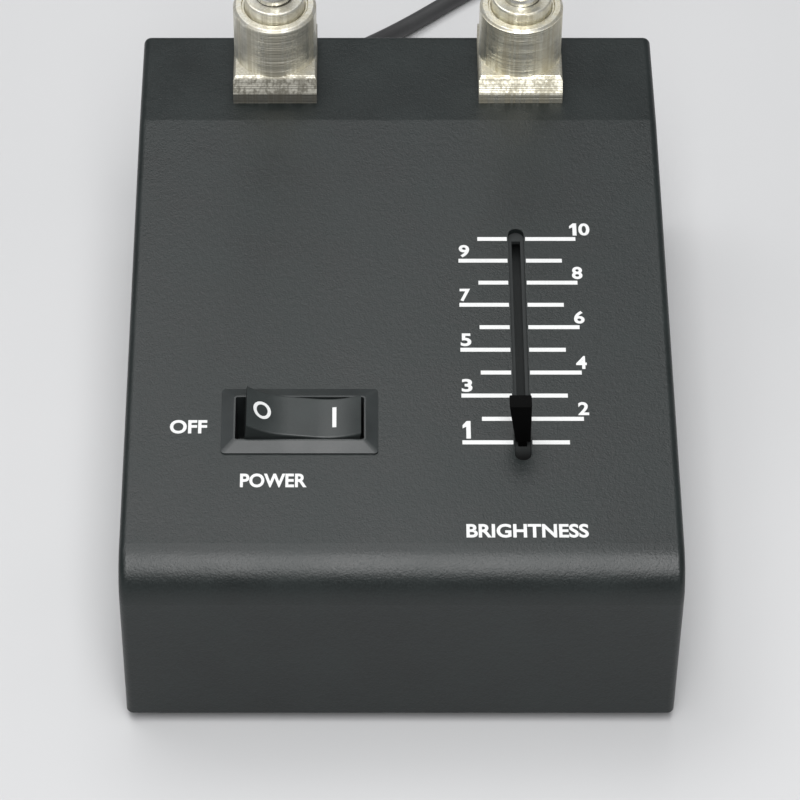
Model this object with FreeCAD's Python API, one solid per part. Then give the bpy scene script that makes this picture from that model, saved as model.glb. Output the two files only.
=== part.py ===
import FreeCAD, Part
import math
import os

Vector = FreeCAD.Vector

# Frame: origin at the bottom centre of the case, +X to the user's right, +Y to the rear, +Z up.
# Lengths are millimetres and angles degrees.

# Case
case_width = 110.0
slope_run = 118.8
flat_run = 27.5
front_height = 41.6
panel_tilt = 5.2
sheet = 1.2
front_bend = 9.0
crease_bend = 4.0
rear_bend = 1.6
side_bend = 1.5
base_flange = 11.0
base_bend = 2.2
base_gap = 0.2
vent_pairs = 3
vent_pitch = 6.0
vent_width = 2.4
vent_length = 16.0
vent_inset = 24.0
cut_overrun = 5.0

# Feet
foot_height = 3.0
foot_radius = 6.0
foot_taper = 0.5
foot_x = 30.0
foot_inset = 8.0
foot_recess_radius = 3.4
foot_recess_depth = 1.9

# Screws
screw_radius = 1.5
screw_head_radius = 2.8
screw_head_height = 1.7
screw_reach = 3.0
screw_slot = 0.7
screw_slot_depth = 0.9
hole_gap = 0.1
side_screw_inset = 22.0
side_screw_height = 6.5

# Rocker switch, centred on the panel at (switch_x, switch_u)
switch_x = -20.1
switch_u = 38.0
bezel_length = 31.2
bezel_width = 16.2
bezel_border = 2.8
bezel_height = 1.3
bezel_lip = 0.35
bezel_land = 0.35
bezel_corner = 0.8
switch_wall = 1.0
switch_depth = 19.0
switch_cavity = 12.0
switch_hole_gap = 0.2
clip_reach = 0.9
clip_length = 7.0
clip_width = 6.0
rocker_length = 22.8
rocker_flat = 6.0
rocker_end_rise = 2.4
rocker_crown = 4.8
rocker_belly = 4.6
rocker_taper = 0.2
rocker_side_gap = 0.35
rocker_edge = 0.4
rocker_tilt = 7.0
pivot_depth = 3.0
pin_radius = 1.2
pin_reach = 0.7
pin_gap = 0.05
blade_width = 4.8
blade_thickness = 0.8
blade_length = 8.0
blade_spacing = 7.0

# Slide control, its knob at (slider_x, knob_u) at rest
slider_x = 24.2
knob_u = 34.2
slide_travel = 51.0
slot_width = 3.3
slot_lead = 5.8
slot_tail = 3.5
knob_width = 3.1
knob_top_width = 4.4
knob_thickness = 3.0
knob_height = 11.5
knob_lean = 0.8
knob_lift = 0.4
knob_edge = 0.3
tongue_width = 1.2
tongue_depth = 2.0
tongue_grip = 6.0
fit_gap = 0.05
control_width = 9.0
control_depth = 7.0
control_wall = 0.8
control_end = 2.2
control_gap = 0.2
tab_length = 7.0
tab_thickness = 1.0
stud_radius = 1.4
stud_length = 7.5
carriage_length = 7.0
carriage_height = 3.6
carriage_gap = 0.3
lug_width = 1.0
lug_length = 4.0
lug_thickness = 0.4
nut_flats = 5.5
nut_height = 2.4

# Driver board
board_length = 80.0
board_width = 64.0
board_thickness = 1.6
board_y = 12.0
board_lift = 6.0
board_hole_inset = 4.0
spacer_radius = 3.0
board_screw_radius = 1.4
board_screw_head = 2.6
board_screw_head_height = 1.6
part_gap = 0.1
transformer_length = 30.0
transformer_width = 25.0
transformer_height = 21.0
transformer_core = 12.0
transformer_x = -20.0
transformer_gap = 0.5
bobbin_margin = 3.0
capacitor_radius = 5.0
capacitor_height = 16.0
capacitor_x = -2.0
capacitor_inset = 12.0
capacitor_pitch = 12.5
capacitor_count = 3
capacitor_groove = 0.5
capacitor_groove_height = 2.5
sink_length = 30.0
sink_depth = 10.0
sink_height = 19.0
sink_base = 2.5
sink_fin = 1.2
sink_fins = 6
sink_x = 22.0
sink_gap = 1.0
transistor_width = 10.0
transistor_height = 15.0
transistor_thickness = 4.2
transistor_lift = 2.0
transistor_tab = 1.2
terminal_pitch = 5.0
terminal_count = 6
terminal_depth = 8.0
terminal_height = 10.0
terminal_step = 3.0
terminal_x = 0.0
terminal_inset = 3.0

# Arm fittings on the flat rear strip
fitting_x = 26.2
fitting_behind_crease = 16.8
block_side = 17.8
block_height = 5.2
block_face = 2.6
block_slope = 2.6
block_chamfer = 0.5
barrel_radius = 8.85
barrel_height = 12.6
barrel_chamfer = 0.6
rim_width = 1.7
rim_depth = 3.0
tail_radius = 5.0
tail_length = 9.0
tail_gap = 0.15
lock_nut_flats = 12.6
lock_nut_rise = 2.6
back_nut_flats = 14.0
back_nut_height = 4.0
seat_gap = 0.05

# Flexible necks: each stands in a fitting and bends in an upright plane
neck_radius = 4.0
neck_bore = 2.2
neck_root_rise = 9.0
neck_root_drop = 4.0
neck_bend_limit = 40.0
neck_ball_gap = 0.15
neck_plane = 45.0
neck_straight = 96.0
neck_sweep = 60.0
lower_turn = 50.0
upper_lead = 30.0
upper_turn = 82.0
upper_tail = 14.0

# Lamp heads
head_radius = 13.0
head_length = 46.0
head_collar_radius = 7.0
head_collar_length = 9.0
head_shoulder = 5.0
head_fins = 5
head_fin_gap = 1.6
head_fin_pitch = 3.6
head_fin_depth = 2.2
head_fin_start = 17.0
head_wall = 1.8
head_cavity = 11.0
head_socket = 7.0
ring_length = 6.0
ring_radius = 13.8
ring_lip = 2.6
ring_lip_depth = 1.4
lens_thickness = 3.0
lens_crown = 1.6
led_board_thickness = 1.6
led_radius = 3.0

# Cord, strain relief and plug
cord_radius = 2.0
cord_arc_share = 0.45
relief_x = -16.0
relief_z = 14.0
relief_length = 22.0
relief_flange = 6.5
relief_flange_depth = 2.0
relief_neck_radius = 4.4
relief_tip_radius = 2.9
relief_groove = 4.5
relief_inner = 6.0
relief_inner_depth = 4.0
relief_ring_gap = 1.2
relief_ring_pitch = 2.6
relief_ring_depth = 0.6
relief_rings = 6
coil_x = 54.0
coil_y = 195.8
coil_outer = 34.4
coil_loops = 4.0
coil_pitch = 4.6
coil_climb = 0.5
coil_samples = 720
plug_relief_length = 20.0
plug_length = 34.0
plug_width = 24.0
plug_corner = 4.0
plug_waist = 2.0
pin_blade_width = 6.3
pin_blade_thickness = 1.5
pin_blade_length = 17.0
pin_blade_spacing = 12.7
cord_route = [
    (-16.0, 95.15, 14.0),
    (-16.0, 110.15, 14.0),
    (-9.5, 125.5, 4.5),
    (3.0, 137.2, 2.0),
    (19.5, 152.0, 2.0),
    (33.0, 161.4, 2.0),
    (50.0, 161.4, 2.0),
]

# Leads inside the case
lead_radius = 0.9
lead_bend = 3.0
lead_margin = 4.0
lead_hang = 7.0
lead_step = 5.0
lead_grip = 2.0
mains_lead_offset = 1.0
switch_pad_inset = 12.9
control_pad_gap = 10.0
switch_lead_drop = 4.0
arm_lead_drop = 16.0

# Sizes that follow from those above
case_depth = slope_run + flat_run
front_y = -case_depth / 2
rear_y = case_depth / 2
crease_y = rear_y - flat_run
corner_z = foot_height + front_height
tilt = math.radians(panel_tilt)
roof_z = corner_z + slope_run * math.tan(tilt)
fitting_y = crease_y + fitting_behind_crease
plate_top = foot_height + sheet
board_z = plate_top + board_lift
board_top = board_z + board_thickness
board_front = board_y - board_width / 2
board_rear = board_y + board_width / 2
terminal_face = board_rear - terminal_inset
terminal_front = terminal_face - terminal_depth
transformer_y = terminal_front - transformer_gap - transformer_width / 2
sink_y = terminal_front - sink_gap - sink_depth
capacitor_y = board_front + capacitor_inset
control_pad_y = sink_y - control_pad_gap
switch_pad_x = switch_pad_inset - board_length / 2
pocket_length = bezel_length - 2 * bezel_border
pocket_width = bezel_width - 2 * bezel_border
neck_standoff = neck_radius * math.tan(math.radians(neck_bend_limit))


def box(low, size):
    return Part.makeBox(size[0], size[1], size[2], Vector(*low))


def centred_box(x, y, z, length, width, height):
    """A box centred on (x, y) that stands on z."""
    return box((x - length / 2, y - width / 2, z), (length, width, height))


def rod(radius, length, start, direction=(0, 0, 1)):
    return Part.makeCylinder(radius, length, Vector(*start), Vector(*direction))


def rounded_wire(points, radii):
    """A closed wire through points, with an arc of the given radius at each corner."""
    edges = []
    ends = []
    count = len(points)
    for i in range(count):
        here = points[i]
        back = (points[i - 1] - here).normalize()
        ahead = (points[(i + 1) % count] - here).normalize()
        radius = max(radii[i], 0)
        half = back.getAngle(ahead) / 2
        if radius == 0:
            ends.append((here, here, None))
            continue
        reach = radius / math.tan(half)
        middle = here + (back + ahead).normalize() * (radius / math.sin(half) - radius)
        ends.append((here + back * reach, here + ahead * reach, middle))
    for i in range(count):
        first, last, middle = ends[i]
        if middle is not None:
            edges.append(Part.Arc(first, middle, last).toShape())
        following = ends[(i + 1) % count][0]
        if (following - last).Length > 0:
            edges.append(Part.LineSegment(last, following).toShape())
    return Part.Wire(Part.__sortEdges__(edges))


def prism(points, radii, direction):
    """A solid of a rounded outline pushed along direction."""
    return Part.Face(rounded_wire(points, radii)).extrude(Vector(*direction))


def rectangle(length, width, corner, z):
    """The corners of a rectangle centred on the Z axis, and a radius for each."""
    x = length / 2
    y = width / 2
    points = [Vector(-x, -y, z), Vector(x, -y, z), Vector(x, y, z), Vector(-x, y, z)]
    return points, [corner] * len(points)


def rounded_plate(length, width, corner, z, height):
    """A plate centred on the Z axis with rounded upright edges."""
    points, radii = rectangle(length, width, corner, z)
    return prism(points, radii, (0, 0, height))


def sharp_prism(points, direction):
    return prism(points, [0] * len(points), direction)


def hexagon(flats, height, start):
    sides = 6
    turn = math.pi / sides
    radius = flats / 2 / math.cos(turn)
    points = []
    for k in range(sides):
        corner = Vector(radius * math.cos(2 * turn * k), radius * math.sin(2 * turn * k), 0)
        points.append(Vector(*start) + corner)
    return sharp_prism(points, (0, 0, height))


def revolved(outline):
    """A solid turned about the Z axis from (radius, height) points."""
    points = [Vector(r, 0, z) for r, z in outline]
    face = Part.Face(Part.makePolygon(points + points[:1]))
    return face.revolve(Vector(0, 0, 0), Vector(0, 0, 1), 360)


def moved(shape, x, y, z):
    shape = shape.copy()
    shape.translate(Vector(x, y, z))
    return shape


def along(shape, start, direction):
    """Carries a shape from the Z axis to an axis at start."""
    shape = shape.copy()
    turn = FreeCAD.Rotation(Vector(0, 0, 1), Vector(*direction))
    shape.Placement = FreeCAD.Placement(Vector(*start), turn).multiply(shape.Placement)
    return shape


def on_panel(shape):
    """Carries a shape from panel coordinates (x, up the slope, outward) to the case."""
    shape = shape.copy()
    turn = FreeCAD.Rotation(Vector(1, 0, 0), panel_tilt)
    shape.Placement = FreeCAD.Placement(Vector(0, front_y, corner_z), turn).multiply(shape.Placement)
    return shape


def rounded_path(points, radii):
    """An open wire of straight runs joined by tangent arcs, one radius per inner point."""
    edges = []
    start = points[0]
    for i in range(1, len(points) - 1):
        here = points[i]
        back = (points[i - 1] - here).normalize()
        ahead = (points[i + 1] - here).normalize()
        half = back.getAngle(ahead) / 2
        reach = radii[i - 1] / math.tan(half)
        first = here + back * reach
        last = here + ahead * reach
        middle = here + (back + ahead).normalize() * (radii[i - 1] / math.sin(half) - radii[i - 1])
        edges.append(Part.LineSegment(start, first).toShape())
        edges.append(Part.Arc(first, middle, last).toShape())
        start = last
    edges.append(Part.LineSegment(start, points[-1]).toShape())
    return Part.Wire(edges)


def tube(path, radius):
    """A round solid along a wire of tangent lines and arcs."""
    edge = path.OrderedEdges[0]
    start = edge.valueAt(edge.FirstParameter)
    direction = edge.tangentAt(edge.FirstParameter)
    section = Part.Wire(Part.makeCircle(radius, start, direction))
    return path.makePipeShell([section], True, False)


def ring_edges_above(shape, z):
    return [e for e in shape.Edges if e.CenterOfMass.z > z and e.Closed]


def screw(head_radius, head_height, shank_radius, reach):
    """A cross-slotted screw, head upward on z = 0, shank down."""
    head = rod(head_radius, head_height, (0, 0, 0))
    head = head.makeFillet(head_height / 2, ring_edges_above(head, head_height / 2))
    for length, width in ((head_radius, screw_slot), (screw_slot, head_radius)):
        slot = centred_box(0, 0, head_height - screw_slot_depth, length, width, head_height)
        head = head.cut(slot)
    return head.fuse(rod(shank_radius, reach, (0, 0, 0), (0, 0, -1)))


def case_outline(inset, bottom):
    """The side outline of the case, moved inward by inset, from front to rear."""
    lift = inset / math.cos(tilt)
    front = front_y + inset
    rear = rear_y - inset
    corner = corner_z + inset * math.tan(tilt) - lift
    roof = roof_z - inset
    crease = crease_y + (lift - inset) / math.tan(tilt)
    places = [(front, bottom), (front, corner), (crease, roof), (rear, roof), (rear, bottom)]
    radii = [0, front_bend - inset, crease_bend - inset, rear_bend - inset, 0]
    return places, radii


def case_block(inset, bottom):
    places, radii = case_outline(inset, bottom)
    x = case_width / 2 - inset
    points = [Vector(-x, y, z) for y, z in places]
    return prism(points, radii, (2 * x, 0, 0))


def side_screw_places():
    return [(side, y) for side in (-1, 1) for y in (front_y + side_screw_inset, rear_y - side_screw_inset)]


def foot_places():
    return [(x, y) for x in (-foot_x, foot_x) for y in (front_y + foot_inset, rear_y - foot_inset)]


def slot_span():
    """The ends of the panel slot, measured up the slope."""
    return knob_u - slot_lead, knob_u + slide_travel + slot_tail


def stud_places():
    low, high = control_span()
    return [low - tab_length / 2, high + tab_length / 2]


def control_span():
    """The ends of the slide control's case, measured up the slope."""
    reach = carriage_length / 2 + carriage_gap + control_end
    return knob_u - reach, knob_u + slide_travel + reach


def obround(x, low, high, width, z, height):
    """A straight slot shape with round ends."""
    r = width / 2
    points = [Vector(x - r, low, z), Vector(x + r, low, z), Vector(x + r, high, z), Vector(x - r, high, z)]
    almost_round = r - fit_gap
    return prism(points, [almost_round] * len(points), (0, 0, height))


def cover():
    shell = case_block(0, foot_height)
    edges = []
    for edge in shell.Edges:
        box_of = edge.BoundBox
        on_side = box_of.XLength < fit_gap and abs(abs(edge.CenterOfMass.x) - case_width / 2) < fit_gap
        if on_side and box_of.ZMax > foot_height + fit_gap:
            edges.append(edge)
    shell = shell.makeFillet(side_bend, edges)
    shell = shell.cut(case_block(sheet, foot_height - cut_overrun))
    through = 2 * cut_overrun
    cutout = rounded_plate(
        pocket_length + 2 * (switch_wall + switch_hole_gap),
        pocket_width + 2 * (switch_wall + switch_hole_gap),
        bezel_corner,
        -cut_overrun,
        through,
    )
    shell = shell.cut(on_panel(moved(cutout, switch_x, switch_u, 0)))
    low, high = slot_span()
    shell = shell.cut(on_panel(obround(slider_x, low, high, slot_width, -cut_overrun, through)))
    for side in (-1, 1):
        hole = rod(tail_radius + tail_gap, through, (side * fitting_x, fitting_y, roof_z - cut_overrun))
        shell = shell.cut(hole)
    hole = rod(relief_groove + hole_gap, through, (relief_x, rear_y - cut_overrun, relief_z), (0, 1, 0))
    shell = shell.cut(hole)
    for side, y in side_screw_places():
        start = (side * (case_width / 2 - cut_overrun), y, foot_height + side_screw_height)
        shell = shell.cut(rod(screw_radius + hole_gap, through, start, (side, 0, 0)))
    for u in stud_places():
        stud = rod(stud_radius, stud_length + sheet / 2, (slider_x, u, -sheet / 2), (0, 0, -1))
        shell = shell.fuse(on_panel(stud))
    return shell.removeSplitter()


def base_plate():
    x = case_width / 2 - sheet - base_gap
    start = front_y + sheet + base_gap
    top = foot_height + base_flange
    inner = x - sheet
    places = [
        (-x, foot_height), (x, foot_height), (x, top), (inner, top),
        (inner, plate_top), (-inner, plate_top), (-inner, top), (-x, top),
    ]
    bend = base_bend - sheet
    radii = [base_bend, base_bend, 0, 0, bend, bend, 0, 0]
    points = [Vector(a, start, b) for a, b in places]
    plate = prism(points, radii, (0, case_depth - 2 * (sheet + base_gap), 0))
    drill = foot_height - cut_overrun
    for a, b in foot_places():
        plate = plate.cut(rod(screw_radius + hole_gap, 2 * cut_overrun, (a, b, drill)))
    for a, b in board_hole_places():
        plate = plate.cut(rod(board_screw_radius + hole_gap, 2 * cut_overrun, (a, b, drill)))
    for side, y in side_screw_places():
        start_at = (side * (x - cut_overrun), y, foot_height + side_screw_height)
        plate = plate.cut(rod(screw_radius + hole_gap, 2 * cut_overrun, start_at, (side, 0, 0)))
    for k in range(-vent_pairs, vent_pairs + 1):
        for y in (front_y + vent_inset, rear_y - vent_inset):
            low = y - vent_length / 2
            vent = obround(k * vent_pitch, low, low + vent_length, vent_width, drill, 2 * cut_overrun)
            plate = plate.cut(vent)
    return plate


def cover_screws():
    solids = []
    reach = 2 * sheet + base_gap + screw_reach
    one = screw(screw_head_radius, screw_head_height, screw_radius, reach)
    for side, y in side_screw_places():
        solids.append(along(one, (side * case_width / 2, y, foot_height + side_screw_height), (side, 0, 0)))
    return Part.makeCompound(solids)


def rubber_feet():
    inner = screw_radius + hole_gap
    bottom = foot_radius - foot_taper
    outline = [
        (foot_recess_radius, 0), (bottom, 0), (foot_radius, foot_taper), (foot_radius, foot_height),
        (inner, foot_height), (inner, foot_recess_depth), (foot_recess_radius, foot_recess_depth),
    ]
    one = revolved(outline)
    return Part.makeCompound([moved(one, x, y, 0) for x, y in foot_places()])


def foot_screws():
    reach = foot_height - foot_recess_depth + sheet + screw_reach
    one = screw(screw_head_radius, screw_head_height, screw_radius, reach)
    solids = [along(one, (x, y, foot_recess_depth), (0, 0, -1)) for x, y in foot_places()]
    return Part.makeCompound(solids)


def switch_housing():
    land = 2 * bezel_land
    low = rounded_wire(*rectangle(bezel_length, bezel_width, bezel_corner, bezel_lip))
    high = rounded_wire(*rectangle(pocket_length + land, pocket_width + land, bezel_corner, bezel_height))
    frame = rounded_plate(bezel_length, bezel_width, bezel_corner, 0, bezel_lip)
    frame = frame.fuse(Part.makeLoft([low, high], True, True))
    body_length = pocket_length + 2 * switch_wall
    body_width = pocket_width + 2 * switch_wall
    body = rounded_plate(body_length, body_width, bezel_corner, -switch_depth, switch_depth)
    body = body.fuse(frame)
    mouth = switch_cavity + cut_overrun
    pocket = rounded_plate(pocket_length, pocket_width, bezel_corner / 2, -switch_cavity, mouth)
    body = body.cut(pocket)
    wide = pocket_width + 2 * (switch_wall + cut_overrun)
    body = body.cut(rod(pin_radius + pin_gap, wide, (0, -wide / 2, -pivot_depth), (0, 1, 0)))
    clip_top = -sheet - hole_gap
    for side in (-1, 1):
        x = side * body_length / 2
        outline = [
            Vector(x, -clip_width / 2, clip_top),
            Vector(x + side * clip_reach, -clip_width / 2, clip_top - clip_reach),
            Vector(x, -clip_width / 2, clip_top - clip_length),
        ]
        body = body.fuse(sharp_prism(outline, (0, clip_width, 0)))
    return on_panel(moved(body.removeSplitter(), switch_x, switch_u, 0))


def rocker():
    """Dished top that curls up at both ends, round belly, one pin across."""
    half = rocker_length / 2
    flat = rocker_flat / 2
    span = half - flat
    sweep = (span * span + rocker_end_rise * rocker_end_rise) / (2 * rocker_end_rise)
    part_way = math.asin(span / sweep) / 2
    rise = sweep * (1 - math.cos(part_way))
    width = pocket_width - 2 * rocker_side_gap
    y = -width / 2
    top = rocker_crown + rocker_end_rise
    left_end = Vector(-half, y, top)
    left_bend = Vector(-flat - sweep * math.sin(part_way), y, rocker_crown + rise)
    left_flat = Vector(-flat, y, rocker_crown)
    belly_left = Vector(-half + rocker_taper, y, 0)
    belly = Vector(0, y, -rocker_belly)

    def across(v):
        return Vector(-v.x, v.y, v.z)

    edges = [
        Part.Arc(left_end, left_bend, left_flat).toShape(),
        Part.LineSegment(left_flat, across(left_flat)).toShape(),
        Part.Arc(across(left_flat), across(left_bend), across(left_end)).toShape(),
        Part.LineSegment(across(left_end), across(belly_left)).toShape(),
        Part.Arc(across(belly_left), belly, belly_left).toShape(),
        Part.LineSegment(belly_left, left_end).toShape(),
    ]
    body = Part.Face(Part.Wire(edges)).extrude(Vector(0, width, 0))
    rims = []
    for edge in body.Edges:
        flat_edge = edge.BoundBox.YLength < fit_gap
        if flat_edge and edge.BoundBox.ZMin > rocker_crown - fit_gap:
            rims.append(edge)
    body = body.makeFillet(rocker_edge, rims)
    wide = width + 2 * (rocker_side_gap + pin_reach)
    body = body.fuse(rod(pin_radius, wide, (0, -wide / 2, 0), (0, 1, 0)))
    body.rotate(Vector(0, 0, 0), Vector(0, 1, 0), rocker_tilt)
    return on_panel(moved(body, switch_x, switch_u, -pivot_depth))


def switch_terminals():
    solids = []
    for k in (-1, 0, 1):
        blade = box((-blade_thickness / 2, -blade_width / 2, -switch_depth - blade_length),
                    (blade_thickness, blade_width, blade_length))
        solids.append(on_panel(moved(blade, switch_x + k * blade_spacing, switch_u, 0)))
    return Part.makeCompound(solids)


def control_top():
    return -sheet - control_gap


def control_case():
    """The sheet-metal case of the slide control, with a lever slot and two end tabs."""
    low, high = control_span()
    length = high - low
    middle = (low + high) / 2
    top = control_top()
    body = centred_box(slider_x, middle, top - control_depth, control_width, length, control_depth)
    wall = 2 * control_wall
    body = body.cut(centred_box(
        slider_x, middle, top - control_depth + control_wall,
        control_width - wall, length - wall, control_depth - wall,
    ))
    slot_low = knob_u - tongue_depth / 2 - carriage_gap
    slot_high = knob_u + slide_travel + tongue_depth / 2 + carriage_gap
    body = body.cut(box(
        (slider_x - tongue_width / 2 - carriage_gap, slot_low, top - control_depth / 2),
        (tongue_width + 2 * carriage_gap, slot_high - slot_low, cut_overrun),
    ))
    for u in stud_places():
        tab = centred_box(slider_x, u, top - tab_thickness, control_width, tab_length, tab_thickness)
        hole = rod(stud_radius + hole_gap, 2 * cut_overrun, (slider_x, u, top - cut_overrun))
        body = body.fuse(tab).cut(hole)
    return on_panel(body.removeSplitter())


def control_nuts():
    solids = []
    for u in stud_places():
        start = (slider_x, u, control_top() - tab_thickness - nut_height)
        nut = hexagon(nut_flats, nut_height, start)
        solids.append(on_panel(nut.cut(rod(stud_radius + fit_gap, nut_height, start))))
    return Part.makeCompound(solids)


def control_lug_places():
    low, high = control_span()
    return low + control_end, low + 2 * control_end, high - control_end


def control_terminals():
    bottom = control_top() - control_depth
    solids = []
    for u in control_lug_places():
        lug = centred_box(slider_x, u, bottom - lug_length, lug_width, lug_thickness, lug_length)
        solids.append(on_panel(lug))
    return Part.makeCompound(solids)


def slider_carriage():
    """The block that slides in the case, with the tongue that carries the knob."""
    wide = control_width - 2 * control_wall - 2 * carriage_gap
    top = control_top() - control_wall - carriage_gap
    block = centred_box(slider_x, knob_u, top - carriage_height, wide, carriage_length, carriage_height)
    tongue = centred_box(
        slider_x, knob_u, top - carriage_height / 2,
        tongue_width, tongue_depth, carriage_height / 2 - top + knob_lift + tongue_grip,
    )
    return on_panel(block.fuse(tongue).removeSplitter())


def slider_knob():
    """A narrow black cap that flares towards its top and leans over a little."""
    base = rounded_wire(*rectangle(knob_width, knob_thickness, knob_edge, knob_lift))
    crown = rounded_wire(*rectangle(knob_top_width, knob_thickness, knob_edge, knob_height))
    crown.translate(Vector(-knob_lean, 0, 0))
    cap = Part.makeLoft([base, crown], True, True)
    socket = centred_box(0, 0, 0, tongue_width + 2 * fit_gap, tongue_depth + 2 * fit_gap,
                         knob_lift + tongue_grip + fit_gap)
    return on_panel(moved(cap.cut(socket), slider_x, knob_u, 0))


def board_hole_places():
    x = board_length / 2 - board_hole_inset
    y = board_width / 2 - board_hole_inset
    return [(a * x, board_y + b * y) for a in (-1, 1) for b in (-1, 1)]


def driver_board():
    plate = centred_box(0, board_y, board_z, board_length, board_width, board_thickness)
    for x, y in board_hole_places():
        start = (x, y, board_z - cut_overrun)
        plate = plate.cut(rod(board_screw_radius + hole_gap, 2 * cut_overrun, start))
    return plate


def board_spacers():
    solids = []
    for x, y in board_hole_places():
        post = rod(spacer_radius, board_lift, (x, y, plate_top))
        solids.append(post.cut(rod(board_screw_radius + hole_gap, board_lift, (x, y, plate_top))))
    return Part.makeCompound(solids)


def board_screws():
    reach = board_thickness + board_lift + sheet
    one = screw(board_screw_head, board_screw_head_height, board_screw_radius, reach)
    return Part.makeCompound([moved(one, x, y, board_top) for x, y in board_hole_places()])


def transformer():
    """A wound bobbin in a laminated core."""
    z = board_top + part_gap
    core = centred_box(transformer_x, transformer_y, z + bobbin_margin,
                       transformer_length, transformer_core, transformer_height - bobbin_margin)
    bobbin = rounded_plate(transformer_length - 4 * bobbin_margin, transformer_width, bobbin_margin, 0,
                           transformer_height - bobbin_margin)
    return core.fuse(moved(bobbin, transformer_x, transformer_y, z)).removeSplitter()


def capacitors():
    r = capacitor_radius
    g = capacitor_groove
    low = capacitor_groove_height
    outline = [
        (0, 0), (r, 0), (r, low - g), (r - g, low), (r, low + g), (r, capacitor_height - g),
        (r - g, capacitor_height), (0, capacitor_height),
    ]
    one = revolved(outline)
    z = board_top + part_gap
    places = [capacitor_x + k * capacitor_pitch for k in range(capacitor_count)]
    return Part.makeCompound([moved(one, x, capacitor_y, z) for x in places])


def heat_sink():
    """A finned bar that stands on the board."""
    z = board_top + part_gap
    low = sink_x - sink_length / 2
    points = [(low, sink_y), (low + sink_length, sink_y)]
    pitch = (sink_length - sink_fin) / (sink_fins - 1)
    for k in reversed(range(sink_fins)):
        fin = low + k * pitch
        points.append((fin + sink_fin, sink_y + sink_depth))
        points.append((fin, sink_y + sink_depth))
        if k:
            points.append((fin, sink_y + sink_base))
            points.append((fin - pitch + sink_fin, sink_y + sink_base))
    outline = [Vector(x, y, z) for x, y in points]
    return sharp_prism(outline, (0, 0, sink_height))


def transistors():
    z = board_top + transistor_lift
    solids = []
    for side in (-1, 1):
        x = sink_x + side * sink_length / 4 - transistor_width / 2
        y = sink_y - part_gap
        body_size = (transistor_width, transistor_thickness, transistor_height / 2)
        tab_size = (transistor_width, transistor_tab, transistor_height)
        body = box((x, y - transistor_thickness, z), body_size)
        tab = box((x, y - transistor_tab, z), tab_size)
        solids.append(body.fuse(tab).removeSplitter())
    return Part.makeCompound(solids)


def terminal_block():
    length = terminal_pitch * terminal_count
    y = terminal_face
    z = board_top + part_gap
    points = [
        (terminal_front, z), (y, z), (y, z + terminal_height - terminal_step),
        (y - terminal_step, z + terminal_height), (terminal_front, z + terminal_height),
    ]
    outline = [Vector(terminal_x - length / 2, a, b) for a, b in points]
    block = sharp_prism(outline, (length, 0, 0))
    for k in range(terminal_count):
        x = terminal_x + (k - (terminal_count - 1) / 2) * terminal_pitch
        mouth = rod(terminal_pitch / 4, terminal_depth / 2, (x, y, z + terminal_height / 4), (0, -1, 0))
        block = block.cut(mouth)
    return block


def arm_base(side):
    """A block with a sloping front, a round barrel with a rim, and a threaded tail through the strip."""
    x = side * fitting_x
    low = x - block_side / 2
    front = fitting_y - block_side / 2
    rear = fitting_y + block_side / 2
    top_of_block = roof_z + block_height
    foot = front - block_slope
    profile = [
        Vector(low, foot, roof_z), Vector(low, rear, roof_z), Vector(low, rear, top_of_block),
        Vector(low, front, top_of_block), Vector(low, foot, roof_z + block_face),
    ]
    block = sharp_prism(profile, (block_side, 0, 0))
    upper_edges = [e for e in block.Edges if e.BoundBox.ZMin > roof_z + block_face]
    block = block.makeChamfer(block_chamfer, upper_edges)
    top = block_height + barrel_height
    mouth = barrel_radius - rim_width
    bore = neck_radius + seat_gap
    outline = [
        (bore, -tail_length), (tail_radius, -tail_length), (tail_radius, block_height / 2),
        (barrel_radius, block_height / 2), (barrel_radius, top - barrel_chamfer),
        (barrel_radius - barrel_chamfer, top), (mouth, top), (mouth, top - rim_depth),
        (bore, top - rim_depth),
    ]
    turned = moved(revolved(outline), x, fitting_y, roof_z)
    hole = rod(bore, block_height + 2 * cut_overrun, (x, fitting_y, roof_z - cut_overrun))
    return block.cut(hole).fuse(turned).removeSplitter()


def arm_lock_nut(side):
    x = side * fitting_x
    z = roof_z + block_height + barrel_height - rim_depth
    height = rim_depth + lock_nut_rise
    nut = hexagon(lock_nut_flats, height, (x, fitting_y, z))
    round_off = rod(lock_nut_flats / 2 + part_gap, height, (x, fitting_y, z))
    round_off = round_off.makeFillet(block_chamfer, ring_edges_above(round_off, z + height / 2))
    bore = rod(neck_radius + seat_gap, height, (x, fitting_y, z))
    return nut.common(round_off).cut(bore)


def arm_back_nut(side):
    x = side * fitting_x
    z = roof_z - sheet - back_nut_height
    nut = hexagon(back_nut_flats, back_nut_height, (x, fitting_y, z))
    return nut.cut(rod(tail_radius + seat_gap, back_nut_height, (x, fitting_y, z)))


def arm_direction(side):
    angle = math.radians(neck_plane)
    return Vector(side * math.sin(angle), -math.cos(angle), 0)


def arm_point(side, out, up):
    """A point of the arm's upright plane: out from the fitting's axis, up from the roof."""
    return Vector(side * fitting_x, fitting_y, roof_z + up) + arm_direction(side) * out


def arm_heading(side, lean):
    angle = math.radians(lean)
    return arm_direction(side) * math.sin(angle) + Vector(0, 0, math.cos(angle))


def root_top():
    return block_height + barrel_height + lock_nut_rise + neck_root_rise


def dished(solid, centre):
    return solid.cut(Part.makeSphere(neck_radius + neck_ball_gap, centre))


def neck_root(side):
    start = arm_point(side, 0, -neck_root_drop)
    length = neck_root_drop + root_top() - neck_standoff
    stub = rod(neck_radius, length, start).cut(rod(neck_bore, length, start))
    return dished(stub, arm_point(side, 0, root_top()))


def lower_end():
    """Where the lower neck's centre line ends, as out, up and lean."""
    turn = math.radians(lower_turn)
    out = neck_sweep * (1 - math.cos(turn))
    up = root_top() + neck_straight + neck_sweep * math.sin(turn)
    return out, up


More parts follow.
